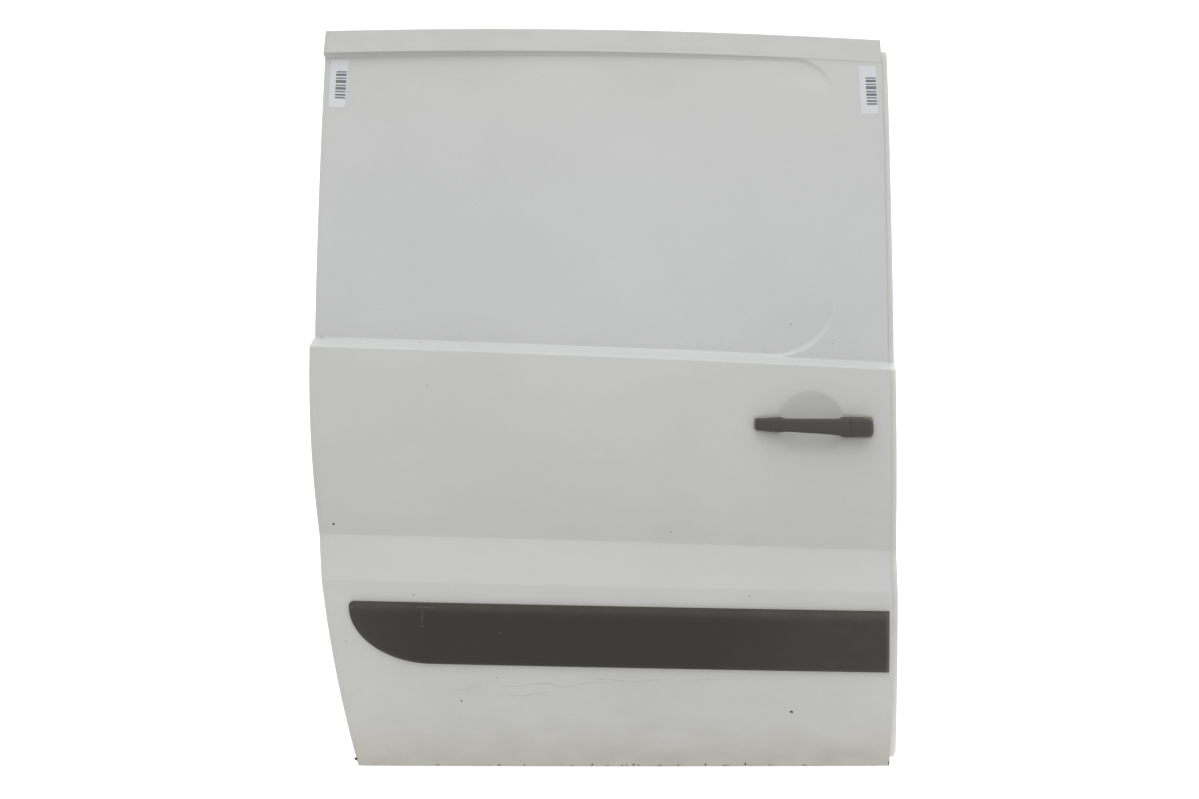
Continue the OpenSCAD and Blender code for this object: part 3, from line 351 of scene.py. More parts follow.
def film_and_painted_shade(x, z):
    """How much dust, road film and painted shade lie on the panel: a sum of shares that die away from the
    foot, the pressed lines, the moulding, the bowl's rim and the edges, or grow as a power of the way down a
    field. The shares at the crease, over the top band, round the bowl's upper rim and down each field are
    painted shade."""
    body = np.clip((belt_foot(x) - z) / (belt_foot(x) - flare_top(x)), 0, 1)
    upper = np.clip((crease_z(x) - z) / (crease_z(x) - belt_top(x)), 0, 1)
    over_mould = np.abs(z - mould_top(x))
    ring = np.abs(np.hypot(x - HANDLE_X, z - HANDLE_Z) - BOWL_R)
    # Darker towards the foot: road film, and painted shade of the down-turned sill that also offsets the
    # floor's glow
    foot = 0.1 * np.exp(-z / 22) + 1.05 * np.exp(-z / 100) * (z < flare_foot(x))
    # An even share below the belt, cut back near the moulding's top: the cut is painted light in the shade
    # under the flare
    below_belt = 0.1 * (z < belt_foot(x)) * (1 - 0.9 * np.exp(-over_mould / 25))
    # Painted shade: each field darker the lower it runs, where its face turns down
    down_body = 0.19 * body ** 1.4 * (body < 1)
    down_upper = 0.03 * upper ** 1.6 * (upper < 1)
    # Painted shade over the top band, at the top of the upper panel and in a line under the crease
    top_band = 0.36 * ramp(-6, 8, z - crease_z(x))
    under_crease = 0.16 * (1 - upper) ** 3 * (upper > 0)
    crease_line = 0.4 * np.exp(-np.abs(crease_z(x) - 1.5 - z) / 3.0)
    mould_line = 0.25 * np.exp(-over_mould / 2.0) * (x > MOULD_X0)
    front_edge = 0.12 * np.exp(-(DOOR_W - x) / 1.5)
    rear_edge = 0.14 * np.exp(-(x - rear_x(z)) / 6)
    # Painted shade round the bowl's upper rim, where its wall faces down
    bowl_rim = 0.3 * np.exp(-ring / 2.0) * (z > HANDLE_Z)
    return np.clip(foot + below_belt + down_body + down_upper + top_band + under_crease + crease_line
                   + mould_line + front_edge + rear_edge + bowl_rim, 0, 1)


def edge_turn(x, z, roll=1.5):
    """How far the face falls back where it rolls over a quarter circle at the panel's edge."""
    d = np.clip(edge_distance(x, z), 0, roll)
    return roll - np.sqrt(roll ** 2 - (roll - d) ** 2)


def over_panel(x, z, lift):
    """Row-frame points a little way out from the outer panel's face."""
    return to_row(np.stack([x, skin_y(x, z) + edge_turn(x, z) - lift, z], -1))


def build_panel():
    """Outer face, and a back that is one sheet behind it or a folded hem near the edge, which is round."""
    x, z = panel_grid()
    y = skin_y(x, z)
    d = np.maximum(edge_distance(x, z), 0)
    turn = edge_turn(x, z)
    thick = np.where(d < HEM_W - 0.5, HEM_T, SKIN_T)
    front = to_row(np.stack([x, y + turn, z], -1))
    back = to_row(np.stack([x, y + np.maximum(thick - turn, turn + 0.05), z], -1))
    obj = make_mesh("outer_panel", plate(front, back), "door")
    # Rust dies away within a few millimetres of the foot and, more weakly, of every edge
    rust = 1.15 * np.exp(-z / 1.7) + 0.25 * np.exp(-d / 1.2)
    # Numbers of road film and painted shade on the face, and an even share on the back
    add_layer(obj, "film_and_shade", np.concatenate([film_and_painted_shade(x, z).ravel(), np.full(x.size, 0.25)]))
    add_layer(obj, "rust", np.tile(np.clip(rust, 0, 1).ravel(), 2))
    return obj


panel = build_panel()
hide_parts("outer_skin")


# Side moulding
def mould_high(x):
    """Upper edge, which turns down over a quarter circle at the rear tip."""
    turn = np.clip(MOULD_TIP_R - (x - MOULD_X0), 0, MOULD_TIP_R)
    return mould_top(x) - MOULD_TIP_R + np.sqrt(MOULD_TIP_R ** 2 - turn ** 2)


def mould_low(x):
    """Lower edge: straight, then an ellipse that sweeps up to the rounded rear tip."""
    s = np.maximum(0, MOULD_X0 + MOULD_SWEEP - x) / MOULD_SWEEP
    return mould_top(x) - MOULD_TIP_R - (MOULD_H - MOULD_TIP_R) * np.sqrt(np.maximum(0, 1 - s * s))


def mould_surface(x, z):
    """Outer face of the moulding: a quarter-circle rim all round, a flat face, bevels at top and front."""
    low, high = mould_low(x), mould_high(x)
    below, above = z - low, high - z
    along = np.abs(x - MOULD_X0)
    slope = np.clip(along / (MOULD_SWEEP * 0.8), 0.12, 1)
    rim = np.minimum.reduce([below * slope / 7.0, above / 1.8, (MOULD_X1 - x) / 2.0, (along + 0.6) / 4.0])
    rim = np.sqrt(1 - (1 - np.clip(rim, 0, 1)) ** 2)
    top_bevel = 0.62 + 0.38 * ramp(0, 15.0, above)
    end_bevel = 0.72 + 0.28 * ramp(0, 7.0, MOULD_X1 - x)
    return plain_y(x, z) - MOULD_T * (0.3 + 0.7 * rim) * top_bevel * end_bevel


def build_moulding():
    """A strip between the two edge curves; dust and fading are kept as numbers on its points."""
    a = np.linspace(0.03, math.pi / 2, 46)
    xs = np.unique(np.concatenate([
        MOULD_X0 + MOULD_SWEEP * (1 - np.cos(a)), np.linspace(MOULD_X0 + MOULD_SWEEP, MOULD_X1 - 10, 66),
        MOULD_X1 - np.array([8, 6, 4, 3, 2, 1.2, 0.6, 0.2, 0])]))
    share = np.unique(np.concatenate([
        np.linspace(0, 0.012, 4), np.linspace(0.012, 0.1, 8), np.linspace(0.1, 0.82, 20),
        np.linspace(0.82, 0.975, 12), np.linspace(0.975, 1, 7)]))
    x, share = np.meshgrid(xs, share)
    low, high = mould_low(x), mould_high(x)
    z = low + share * (high - low)
    front = to_row(np.stack([x, mould_surface(x, z), z], -1))
    back = to_row(np.stack([x, plain_y(x, z) - 0.05, z], -1))
    obj = make_mesh("side_moulding_shell", plate(front, back), "door", sharp=50.0)
    # Dust lies along the top; the sun has greyed the front, the top bevel and both ends
    dust = np.exp(-(high - z) / 1.6)
    fade = (0.3 * ramp(700, 1040, x) + 0.42 * ramp(24, 3, high - z) + 0.6 * ramp(10, 2, MOULD_X1 - x)
            + 0.2 * ramp(230, 90, x))
    add_layer(obj, "dust", np.concatenate([np.clip(dust, 0, 1).ravel(), np.zeros(x.size)]))
    add_layer(obj, "fade", np.tile(np.clip(fade, 0, 1.4).ravel(), 2))
    return obj


moulding = build_moulding()
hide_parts("side_moulding")


# Pull handle
def handle_axes():
    """Origin and unit axes of the frame that lies on the panel at the bowl's centre."""
    step = 10.0
    x, z = np.array(HANDLE_X), np.array(HANDLE_Z)
    slope_z = float(plain_y(x, z + step) - plain_y(x, z - step)) / (2 * step)
    slope_x = float(plain_y(x + step, z) - plain_y(x - step, z)) / (2 * step)
    a, b = -math.atan(slope_z), math.atan(slope_x)
    tilt = np.array([[1, 0, 0], [0, math.cos(a), -math.sin(a)], [0, math.sin(a), math.cos(a)]])
    yaw = np.array([[math.cos(b), -math.sin(b), 0], [math.sin(b), math.cos(b), 0], [0, 0, 1]])
    return np.array([HANDLE_X, float(plain_y(x, z)), HANDLE_Z]), yaw @ tilt


HANDLE_ORIGIN, HANDLE_TURN = handle_axes()


def on_handle(points):
    """Handle millimetres, turned and moved onto the panel, to metres in the row frame."""
    return to_row(np.asarray(points) @ HANDLE_TURN.T + HANDLE_ORIGIN)


# Stations: place along the handle, top, foot, outer face, inner face
GRIP_STATIONS = np.array([
    [-GRIP_REAR, 10.5, -5, 8, 4.4], [2 - GRIP_REAR, 12.2, -6.8, 11.5, 4], [-88, 13.6, -8.7, 18, 1.2],
    [-80, 14.2, -9.6, 22, 0.3], [-64, 15.3, -11.6, 26, 0.3], [-59.5, 15.5, -12, 27, 4],
    [-55, 14.4, -12.2, 27.6, 10], [-50, 12.9, -11.6, 28.6, 13],
    [-38, 12.4, -12.2, GRIP_OUT, GRIP_OUT - GRIP_T],
    [0, 12.1, -14.7, GRIP_OUT + 1, GRIP_OUT - GRIP_T + 1],
    [38, 11.9, -17.5, GRIP_OUT + 0.5, GRIP_OUT - GRIP_T + 0.5],
    [46, 12.3, -18.4, GRIP_OUT, 13], [50, 13.8, -19.5, GRIP_OUT, 6], [54, 15.3, -20.5, GRIP_OUT, 0.3],
    [GRIP_FRONT - 2, HANDLE_TOP, HANDLE_FOOT, GRIP_OUT - 0.6, 0.3],
    [GRIP_FRONT, HANDLE_TOP - 0.7, HANDLE_FOOT + 0.7, GRIP_OUT - 1.6, 0.3]])
CAP_X0 = GRIP_FRONT + SEAM
CAP_X1 = CAP_X0 + CAP_LEN
CAP_STATIONS = np.array([
    [CAP_X0, HANDLE_TOP - 0.7, HANDLE_FOOT + 0.7, GRIP_OUT - 1.6, 0],
    [CAP_X0 + 2, HANDLE_TOP, HANDLE_FOOT, GRIP_OUT - 0.8, 0],
    [CAP_X0 + CAP_LEN * 0.4, HANDLE_TOP - 1, HANDLE_FOOT + 0.1, GRIP_OUT - 3, 0],
    [CAP_X1 - 13, HANDLE_TOP - 3.2, HANDLE_FOOT + 0.5, GRIP_OUT - 6.5, 0],
    [CAP_X1 - 6, HANDLE_TOP - 5.4, HANDLE_FOOT + 1.6, GRIP_OUT - 10, 0],
    [CAP_X1 - 2, HANDLE_TOP - 8.6, HANDLE_FOOT + 4.4, GRIP_OUT - 15, 0],
    [CAP_X1, HANDLE_TOP - 12.6, HANDLE_FOOT + 8.4, GRIP_OUT - 20, 0]])


def handle_loft(stations, around=56):
    """Squared circles between a station's four limits, carried along by cubics. The slope at a station is the
    harmonic mean of the slopes beside it, or nil where they differ in sign."""
    key = stations[:, 0]
    steps = np.maximum(1, np.round(np.diff(key) / 1.6).astype(int))
    x = np.unique(np.concatenate([np.linspace(a, b, n + 1) for a, b, n in zip(key[:-1], key[1:], steps)]))
    slope = np.diff(stations, axis=0) / np.diff(key)[:, None]
    same = slope[:-1] * slope[1:] > 0
    inner = np.where(same, 2 * slope[:-1] * slope[1:] / np.where(same, slope[:-1] + slope[1:], 1), 0)
    tangent = np.concatenate([slope[:1], inner, slope[-1:]])
    k = np.clip(np.searchsorted(key, x, side="right") - 1, 0, len(key) - 2)
    gap = np.diff(key)[k][:, None]
    t = (x[:, None] - key[k][:, None]) / gap
    values = ((2 * t ** 3 - 3 * t ** 2 + 1) * stations[k] + (t ** 3 - 2 * t ** 2 + t) * gap * tangent[k]
              + (3 * t ** 2 - 2 * t ** 3) * stations[k + 1] + (t ** 3 - t ** 2) * gap * tangent[k + 1])
    a = np.linspace(0, 2 * math.pi, around, endpoint=False)
    u = np.sign(np.cos(a)) * np.abs(np.cos(a)) ** 0.5
    v = np.sign(np.sin(a)) * np.abs(np.sin(a)) ** 0.55
    top, foot, outer, inner_face = (values[:, c:c + 1] for c in (1, 2, 3, 4))
    rings = np.stack([np.broadcast_to(x[:, None], (len(x), around)),
                      -PAD_T - (outer + inner_face) / 2 - (outer - inner_face) / 2 * u,
                      (top + foot) / 2 + (top - foot) / 2 * v], -1)
    return loft(on_handle(rings))


grip = make_mesh("pull_grip", handle_loft(GRIP_STATIONS), "handle", 50.0)
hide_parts("handle_grip")
cap = make_mesh("handle_end_cap", handle_loft(CAP_STATIONS), "door", 50.0)
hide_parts("handle_cap")


# Wear, tags and scratches on the face
def flake(x0, z0, width, height, seed, lift=0.15):
    """A thin patch whose outline is an ellipse with three sine waves laid over its radius."""
    a = np.linspace(0, 2 * math.pi, 22, endpoint=False)
    r = 1 + 0.2 * np.sin(2 * a + seed) + 0.17 * np.sin(3 * a + 2.1 * seed) + 0.1 * np.sin(5 * a + 3.7 * seed)
    size = np.array([1.0, 1.0, 0.9, 0.4])[:, None]
    x = x0 + size * width / 2 * r * np.cos(a)
    z = np.maximum(0.05, z0 + size * height / 2 * r * np.sin(a))
    return loft(over_panel(x, z, np.array([-0.1, 0.4 * lift, lift, lift])[:, None]))


# Places where the paint has chipped to rusted steel: place along and up the door, width and height
CHIPS = [(45.5, 447, 4.0, 4.2), (881.5, 104, 5.0, 5.4), (663, 432, 2.2, 2.2), (280, 125, 3.2, 3.4),
         (883, 812, 2.0, 2.2), (961, 776, 1.6, 1.6), (219, 699, 1.8, 1.8), (71, 235, 2.0, 2.2),
         (201, 779, 1.8, 2.0), (805, 317.5, 2.4, 2.0), (346, 168, 1.8, 1.8), (196, 320, 2.4, 2.2),
         (81.7, 13, 5.5, 7.5), (346, 2.6, 7, 2.2), (392, 2.6, 4, 1.8), (517, 3.4, 4, 3.2), (545, 2.2, 7, 1.6),
         (572.5, 2.6, 3.4, 2.2), (580, 2.6, 3, 2.4), (593, 3.6, 4, 3.6), (602, 2.6, 4, 2), (641, 2.2, 9, 1.5),
         (725, 3.6, 4, 3.4), (762, 2.2, 11, 1.5), (798, 4.6, 3.6, 4.4), (1061.4, 5.5, 2.4, 7),
         (232, 2.2, 8, 1.5), (905, 2.2, 8, 1.5), (480, 2.4, 3, 1.6), (675, 2.6, 4, 1.8), (842, 2.4, 3.4, 1.6)]
chips = make_mesh("paint_chips", joined([flake(*chip, seed=1.7 * k) for k, chip in enumerate(CHIPS)]), "door")


def ribbon(path, width, surface, lift):
    """A thin strip along a path: two edges half a width to each side of it, drawn in at both ends."""
    path = np.array(path, float)
    run = np.concatenate([[0], np.cumsum(np.hypot(*np.diff(path, axis=0).T))])
    s = np.linspace(0, run[-1], int(run[-1] / 2.5) + 3)
    x, z = np.interp(s, run, path[:, 0]), np.interp(s, run, path[:, 1])
    x, z = [np.concatenate([v[:1], (v[:-2] + v[1:-1] + v[2:]) / 3, v[-1:]]) for v in (x, z)]
    dx, dz = np.gradient(x), np.gradient(z)
    length = np.hypot(dx, dz)
    t = s / run[-1]
    half = width / 2 * (0.12 + 0.88 * np.sin(math.pi * t) ** 0.6) * (1 + 0.35 * np.sin(19 * t + run[-1]))
    x = np.stack([x + half * dz / length, x - half * dz / length])
    z = np.stack([z - half * dx / length, z + half * dx / length])
    return plate(surface(x, z, lift), surface(x, z, -0.1))


# Scratches in the sill and scuffs on the moulding: places along and up the door, and each scuff's width
SCRATCHES = [
    [(255, 142), (279, 145), (301, 150), (312, 150)],
    [(352, 151), (388, 153), (410, 157), (440, 158), (454, 154), (467, 150), (483, 153), (501, 157),
     (534, 160), (570, 163)],
    [(361, 134), (397, 135), (434, 141), (447, 144)],
    [(516, 166), (549, 165), (580, 162), (607, 160)],
    [(607, 162), (643, 165)],
    [(698, 163), (752, 166)]]
SCUFFS = [([(213, 296), (214, 286), (212.5, 276), (213, 268)], 1.5),
          ([(201, 298), (216, 299), (236, 297)], 2.0),
          ([(210, 263), (213, 264.5), (217, 263)], 3.0),
          ([(352, 252), (357, 253)], 2.0)]
SCRATCH_W, SCRATCH_LIFT, SCUFF_LIFT = 1.5, 0.06, 0.08


def over_moulding(x, z, lift):
    """Row-frame points a little way out from the moulding's face."""
    return to_row(np.stack([x, mould_surface(x, z) - lift, z], -1))


scratches = make_mesh("paint_scratches", joined([
    ribbon(path, SCRATCH_W, over_panel, SCRATCH_LIFT) for path in SCRATCHES]), "door")
scuffs = make_mesh("moulding_scuffs", joined([
    ribbon(path, width, over_moulding, SCUFF_LIFT) for path, width in SCUFFS]), "door")


def on_tag(corners, s, t):
    """Door place of a share across and a share down a four-cornered tag."""
    a, b, c, d = np.array(corners, float)
    s, t = s[..., None], t[..., None]
    return (a * (1 - s) + b * s) * (1 - t) + (d * (1 - s) + c * s) * t


def tag_plate(corners, s0, s1, t0, t1, lift, n=14):
    """Part of a tag as a thin sheet over the panel; a high power of both shares lifts its last corner."""
    s, t = np.meshgrid(np.linspace(s0, s1, n), np.linspace(t1, t0, n))
    place = on_tag(corners, s, t)
    curl = 0.9 * (s * t) ** 8
    front, back = (over_panel(place[..., 0], place[..., 1], out + curl) for out in (lift, lift - TAG_T))
    return plate(front, back)


# Two stock tags of blank paper with plain printed bars
TAG_T, TAG_LIFT, BAR_LIFT = 0.12, 0.2, 0.26
TAGS = [[(13, 1325), (45.8, 1324.8), (44.4, 1229), (11.8, 1231.2)],
        [(1018.6, 1307.1), (1051, 1307.3), (1054.1, 1212.2), (1021.9, 1212.1)]]
# Widths of bar and gap by turns, and the shares of a tag that they cover across and down
BARS = np.array([2.2, 1.6, 4.0, 2.4, 2.2, 1.8, 5.0, 2.6, 2.4, 1.6, 4.2, 2.0, 2.2, 2.6, 3.0, 1.8, 2.6])
BARS_ACROSS = [(0.34, 0.95), (0.36, 0.96)]
BARS_TOP, BARS_H = 0.24, 0.57
tags = make_mesh("paper_tags", joined([tag_plate(c, 0, 1, 0, 1, TAG_LIFT) for c in TAGS]), "door")
edges = np.concatenate([[0], np.cumsum(BARS)])
edges = BARS_TOP + BARS_H * edges / edges[-1]
bars = make_mesh("printed_bars", joined([
    tag_plate(c, s0, s1, edges[k], edges[k + 1], BAR_LIFT, 5)
    for c, (s0, s1) in zip(TAGS, BARS_ACROSS) for k in range(0, len(BARS), 2)]), "door")


# Fastenings and sealer on the hidden sides
def rings_round(place, out, radius, level, around):
    """Rings round an axis: a unit circle times each radius, plus each level times the axis."""
    out = np.array(out, float) / np.linalg.norm(out)
    u = np.cross(out, [0.0, 0.0, 1.0])
    u /= np.linalg.norm(u)
    v = np.cross(out, u)
    a = np.linspace(0, 2 * math.pi, around, endpoint=False)
    ring = radius[..., None] * (np.cos(a)[:, None] * u + np.sin(a)[:, None] * v) + level[..., None] * out
    return loft(to_row(ring + np.array(place, float)))


def hexagon(turn, around):
    """Radius of a hexagon of half width one: one over the cosine of the angle from its side's middle."""
    a = np.linspace(0, 2 * math.pi, around, endpoint=False)
    return 1 / np.cos((a + turn) % (math.pi / 3) - math.pi / 6)


def flange_bolt(place, out, across, turn, around=48):
    """Rings round an axis: a round flange, then a hexagon with a chamfered top."""
    level = np.array([-0.5, 0.9, 1.7, 2.0, 2.1, 5.2, 6.0, 6.0])[:, None]
    round_part = np.array([1.75, 1.75, 1.55, 1.2, 0, 0, 0, 0])[:, None]
    six_part = np.array([0, 0, 0, 0, 1.0, 1.0, 0.86, 0.5])[:, None]
    full = six_part > 0.95
    r = across / 2 * (round_part + six_part * np.where(full, hexagon(turn, around), 1))
    return rings_round(place, out, r, level, around)


def pan_screw(place, out, across, turn, around=48):
    """Rings round an axis: a low domed head with a shallow six-sided recess in its middle."""
    level = np.array([-0.4, 0.5, 1.4, 2.1, 2.4, 2.4, 0.9, 0.9])[:, None]
    share = np.array([1.0, 1.0, 0.93, 0.75, 0.5, 0.42, 0.4, 0.1])[:, None]
    recess = np.arange(8)[:, None] >= 5
    r = across / 2 * share * np.where(recess, hexagon(turn, around) * 0.9, 1)
    return rings_round(place, out, r, level, around)


def weld_spot(place, out):
    """Rings round an axis: a flat button with a raised rim, as the electrode of a spot welder leaves."""
    radius = np.array([3.9, 3.6, 3.1, 2.6, 2.2, 0.4])[:, None]
    level = np.array([-0.2, 0.22, 0.42, 0.38, 0.12, 0.1])[:, None]
    return rings_round(place, out, radius, level, 28)


# The inner pressing, its bend below the leaned upper sheet, and the middles of the three roller brackets
PANEL_Y, BEND_Z, LEAN, SHEET_T = 45.0, 700.0, 6.8, 1.2
INNER_Y = PANEL_Y + SHEET_T
HINGE_X, HINGE_Z, LOWER_X, LOWER_Z, UPPER_X, UPPER_H = 62.0, 645.0, 960.0, 80.0, 1000.0, 560.3
BRACKET_T, UPPER_BRACKET_T = 5, 4
# Bolts round a bracket's middle: places along the door, places up it and the width across a head
HINGE_BOLTS = (-21, 30), (-20, 20), 9
LOWER_BOLTS = (-32, 32), (28, -30), 10
UPPER_BOLTS = (-24, 6), (-15, 15), 7.5


def on_leaned(x, h, d):
    """Door place on the leaned upper sheet: height h up its slope, depth d behind its front."""
    c, q = math.cos(math.radians(LEAN)), math.sin(math.radians(LEAN))
    return [x, PANEL_Y + h * q + d * c, BEND_Z + h * c - d * q]


def rear_at(z):
    """The rear edge's place at one height, as a plain number."""
    return float(rear_x(np.array(z)))


inward = [0, 1, 0]
lean_out = [0, math.cos(math.radians(LEAN)), -math.sin(math.radians(LEAN))]
bolts = [flange_bolt([x + dx, INNER_Y + BRACKET_T, z + dz], inward, across, dx)
         for x, z, (along, up, across) in ((HINGE_X, HINGE_Z, HINGE_BOLTS), (LOWER_X, LOWER_Z, LOWER_BOLTS))
         for dx in along for dz in up]
along, up, across = UPPER_BOLTS
bolts += [flange_bolt(on_leaned(UPPER_X + dx, UPPER_H + dh, SHEET_T + UPPER_BRACKET_T), lean_out, across, dx)
          for dx in along for dh in up]
bolts = make_mesh("arm_bolts", joined(bolts), "door", 30.0)

# Latch mouths in both edge walls, and the screws beside each
MOUTH_Y, MOUTH_Z, WALL_IN = 10.0, 560.0, 12.0
SCREW_ACROSS, SCREW_SPOTS = 9.5, [(29, 30), (29, -30), (29, 0)]
screws = [pan_screw([DOOR_W - WALL_IN, MOUTH_Y + dy, MOUTH_Z + dz], [1, 0, 0], SCREW_ACROSS, dz)
          for dy, dz in SCREW_SPOTS]
screws += [pan_screw([rear_at(MOUTH_Z + dz) + WALL_IN, MOUTH_Y + dy, MOUTH_Z + dz],
                     [-1, 0, 0], SCREW_ACROSS, dz) for dy, dz in SCREW_SPOTS]
screws = make_mesh("latch_screws", joined(screws), "door", 30.0)


def seam_bead(x, z, width=4.6, height=1.7):
    """Half an ellipse carried along the hem's back, swelling by three sine waves as a brushed bead does."""
    run = np.concatenate([[0], np.cumsum(np.hypot(np.diff(x), np.diff(z)))])
    dx, dz = np.gradient(x), np.gradient(z)
    length = np.hypot(dx, dz)
    across = np.stack([-dz / length, np.zeros_like(x), dx / length], -1)
    swell = 1 + 0.12 * np.sin(run / 17) + 0.08 * np.sin(run / 5.3 + 1) + 0.05 * np.sin(run / 2.9)
    swell *= np.clip(np.minimum(run, run[-1] - run) / 6, 0.15, 1) ** 0.5
    a = np.linspace(0, 2 * math.pi, 16, endpoint=False)
    centre = np.stack([x, skin_y(x, z) + HEM_T - 0.2, z], -1)
    ring = (width / 2 * np.cos(a)[None, :, None] * across[:, None]
            + height * np.maximum(np.sin(a), -0.2)[None, :, None] * np.array([0.0, 1.0, 0.0]))
    return loft(to_row(centre[:, None] + swell[:, None, None] * ring))


# Rows of spot welds: how far each stands in from its edge, and its heights or places with their pitch
WELD_IN, WELD_UP, LEANED_WELD_IN = 23, 24, 33
spots = [weld_spot([DOOR_W - WELD_IN, INNER_Y, h], inward) for h in np.arange(150, 690, 58.0)]
spots += [weld_spot([rear_at(h) + WELD_IN, INNER_Y, h], inward) for h in np.arange(60, 690, 58.0)]
spots += [weld_spot([w, INNER_Y, WELD_UP], inward) for w in np.arange(150, 900, 62.0)]
spots += [weld_spot(on_leaned(w, h, SHEET_T), lean_out)
          for w in (DOOR_W - LEANED_WELD_IN, LEANED_WELD_IN) for h in np.arange(40, 560, 64.0)]
spots = make_mesh("spot_welds", joined(spots), "door", 60.0)

# Beads along the foot, up the front edge and down the rear edge
SIDE_BEAD_IN, FOOT_BEAD_UP = 8.0, 9.0
low = np.linspace(130, DOOR_W - 24, 380)
up = np.linspace(24, 690, 270)
beads = make_mesh("hem_sealer", joined([
    seam_bead(low, np.full_like(low, FOOT_BEAD_UP)),
    seam_bead(np.full_like(up, DOOR_W - SIDE_BEAD_IN), up),
    seam_bead((rear_x(up) + SIDE_BEAD_IN)[::-1], up[::-1])]), "door", 60.0)

# Materials
def linear(code):
    """sRGB hex to linear colour, opaque."""
    value = [int(code[k:k + 2], 16) / 255 for k in (0, 2, 4)]
    return [v / 12.92 if v <= 0.04045 else ((v + 0.055) / 1.055) ** 2.4 for v in value] + [1.0]


def add(tree, kind, inputs=None, **settings):
    """Adds a node, with its settings, and its sockets linked or filled in."""
    node = tree.nodes.new(kind)
    for key, value in settings.items():
        setattr(node, key, value)
    for key, value in (inputs or {}).items():
        if isinstance(value, bpy.types.NodeSocket):
            tree.links.new(value, node.inputs[key])
        else:
            node.inputs[key].default_value = value
    return node


def new_material(name):
    """An empty material with a Principled shader, and the object's own coordinates in metres."""
    material = bpy.data.materials.new(name)
    material.use_nodes = True
    tree = material.node_tree
    tree.nodes.clear()
    shader = add(tree, "ShaderNodeBsdfPrincipled")
    add(tree, "ShaderNodeOutputMaterial", {"Surface": shader.outputs[0]})
    place = add(tree, "ShaderNodeTexCoord").outputs["Object"]
    return material, tree, shader, place


NOISE, SPREAD, MIX, MATH = "ShaderNodeTexNoise", "ShaderNodeMapRange", "ShaderNodeMix", "ShaderNodeMath"
# Most values of a noise lie between these
NOISE_SPAN = {"From Min": 0.3, "From Max": 0.7}
RUST_BROWN = "6B513A"


def weathered_paint(name, clean, thin_film_and_shade, thick_film_and_shade, cover_low, cover_high, rough):
    """Paint with slow mottling, specks, road film and painted shade in long low clouds, and rust where the
    point numbers say.
    """
    material, tree, shader, place = new_material(name)
    film_and_shade = add(tree, "ShaderNodeAttribute", attribute_name="film_and_shade").outputs["Fac"]
    rust = add(tree, "ShaderNodeAttribute", attribute_name="rust").outputs["Fac"]
    # Sizes in mm: clouds of film and painted shade along and up the door, patches, mottling, specks, rust
    # blooms, orange peel
    cloud_along, cloud_up, patch_mm, mottle_mm = 83.333, 34.483, 62.5, 250.0
    speck_mm, bloom_mm, peel_mm, peel_h = 2.381, 11.111, 3.0303, 0.06
    tall = add(tree, "ShaderNodeMapping", {
        "Vector": place, "Scale": [MM_PER_M / size for size in (cloud_along, cloud_along, cloud_up)]})
    streak = add(tree, NOISE, {"Vector": tall.outputs[0], "Scale": 1.0, "Detail": 3.0}).outputs[0]
    patch = add(tree, NOISE, {
        "Vector": place, "Scale": MM_PER_M / patch_mm, "Detail": 6.0, "Roughness": 0.6}).outputs[0]
    slow = add(tree, NOISE, {"Vector": place, "Scale": MM_PER_M / mottle_mm, "Detail": 2.0}).outputs[0]
    fine = add(tree, NOISE, {"Vector": place, "Scale": MM_PER_M / speck_mm, "Detail": 3.0}).outputs[0]
    uneven = add(tree, MATH, {0: streak, 1: patch}, operation="ADD").outputs[0]
    cover = add(tree, SPREAD, {
        "Value": uneven, "From Min": 0.65, "From Max": 1.35,
        "To Min": cover_low, "To Max": cover_high}).outputs[0]
    cover = add(tree, MATH, {0: cover, 1: film_and_shade}, operation="MULTIPLY").outputs[0]
    # A quarter of full cover already has the darker colour of film and painted shade
    heavy = add(tree, MATH, {0: cover, 1: 4.0}, operation="MULTIPLY", use_clamp=True).outputs[0]
    film_and_shade_tint = add(tree, MIX, {
        "Factor": heavy, "A": linear(thin_film_and_shade), "B": linear(thick_film_and_shade)}, data_type="RGBA").outputs["Result"]
    covered_colour = add(tree, MIX, {"Factor": cover, "A": linear(clean), "B": film_and_shade_tint}, data_type="RGBA")
    shade = add(tree, SPREAD, {"Value": slow, **NOISE_SPAN, "To Min": 0.978, "To Max": 1.022}).outputs[0]
    grit = add(tree, SPREAD, {"Value": fine, **NOISE_SPAN, "To Min": 0.975, "To Max": 1.02}).outputs[0]
    tone = add(tree, MATH, {0: shade, 1: grit}, operation="MULTIPLY").outputs[0]
    colour = add(tree, "ShaderNodeVectorMath", {
        0: covered_colour.outputs["Result"], "Scale": tone}, operation="SCALE").outputs[0]
    bloom = add(tree, NOISE, {
        "Vector": place, "Scale": MM_PER_M / bloom_mm, "Detail": 6.0, "Roughness": 0.7}).outputs[0]
    eaten = add(tree, MATH, {0: rust, 1: bloom}, operation="MULTIPLY").outputs[0]
    eaten = add(tree, SPREAD, {"Value": eaten, "From Min": 0.33, "From Max": 0.5}).outputs[0]
    final = add(tree, MIX, {"Factor": eaten, "A": colour, "B": linear(RUST_BROWN)}, data_type="RGBA")
    tree.links.new(final.outputs["Result"], shader.inputs["Base Color"])
    dull = add(tree, SPREAD, {"Value": cover, "To Min": rough, "To Max": rough + 0.3}).outputs[0]
    tree.links.new(dull, shader.inputs["Roughness"])
    peel = add(tree, NOISE, {"Vector": place, "Scale": MM_PER_M / peel_mm, "Detail": 1.0}).outputs[0]
    bump = add(tree, "ShaderNodeBump", {"Height": peel, "Strength": 0.25, "Distance": peel_h / MM_PER_M})
    tree.links.new(bump.outputs[0], shader.inputs["Normal"])
    return material


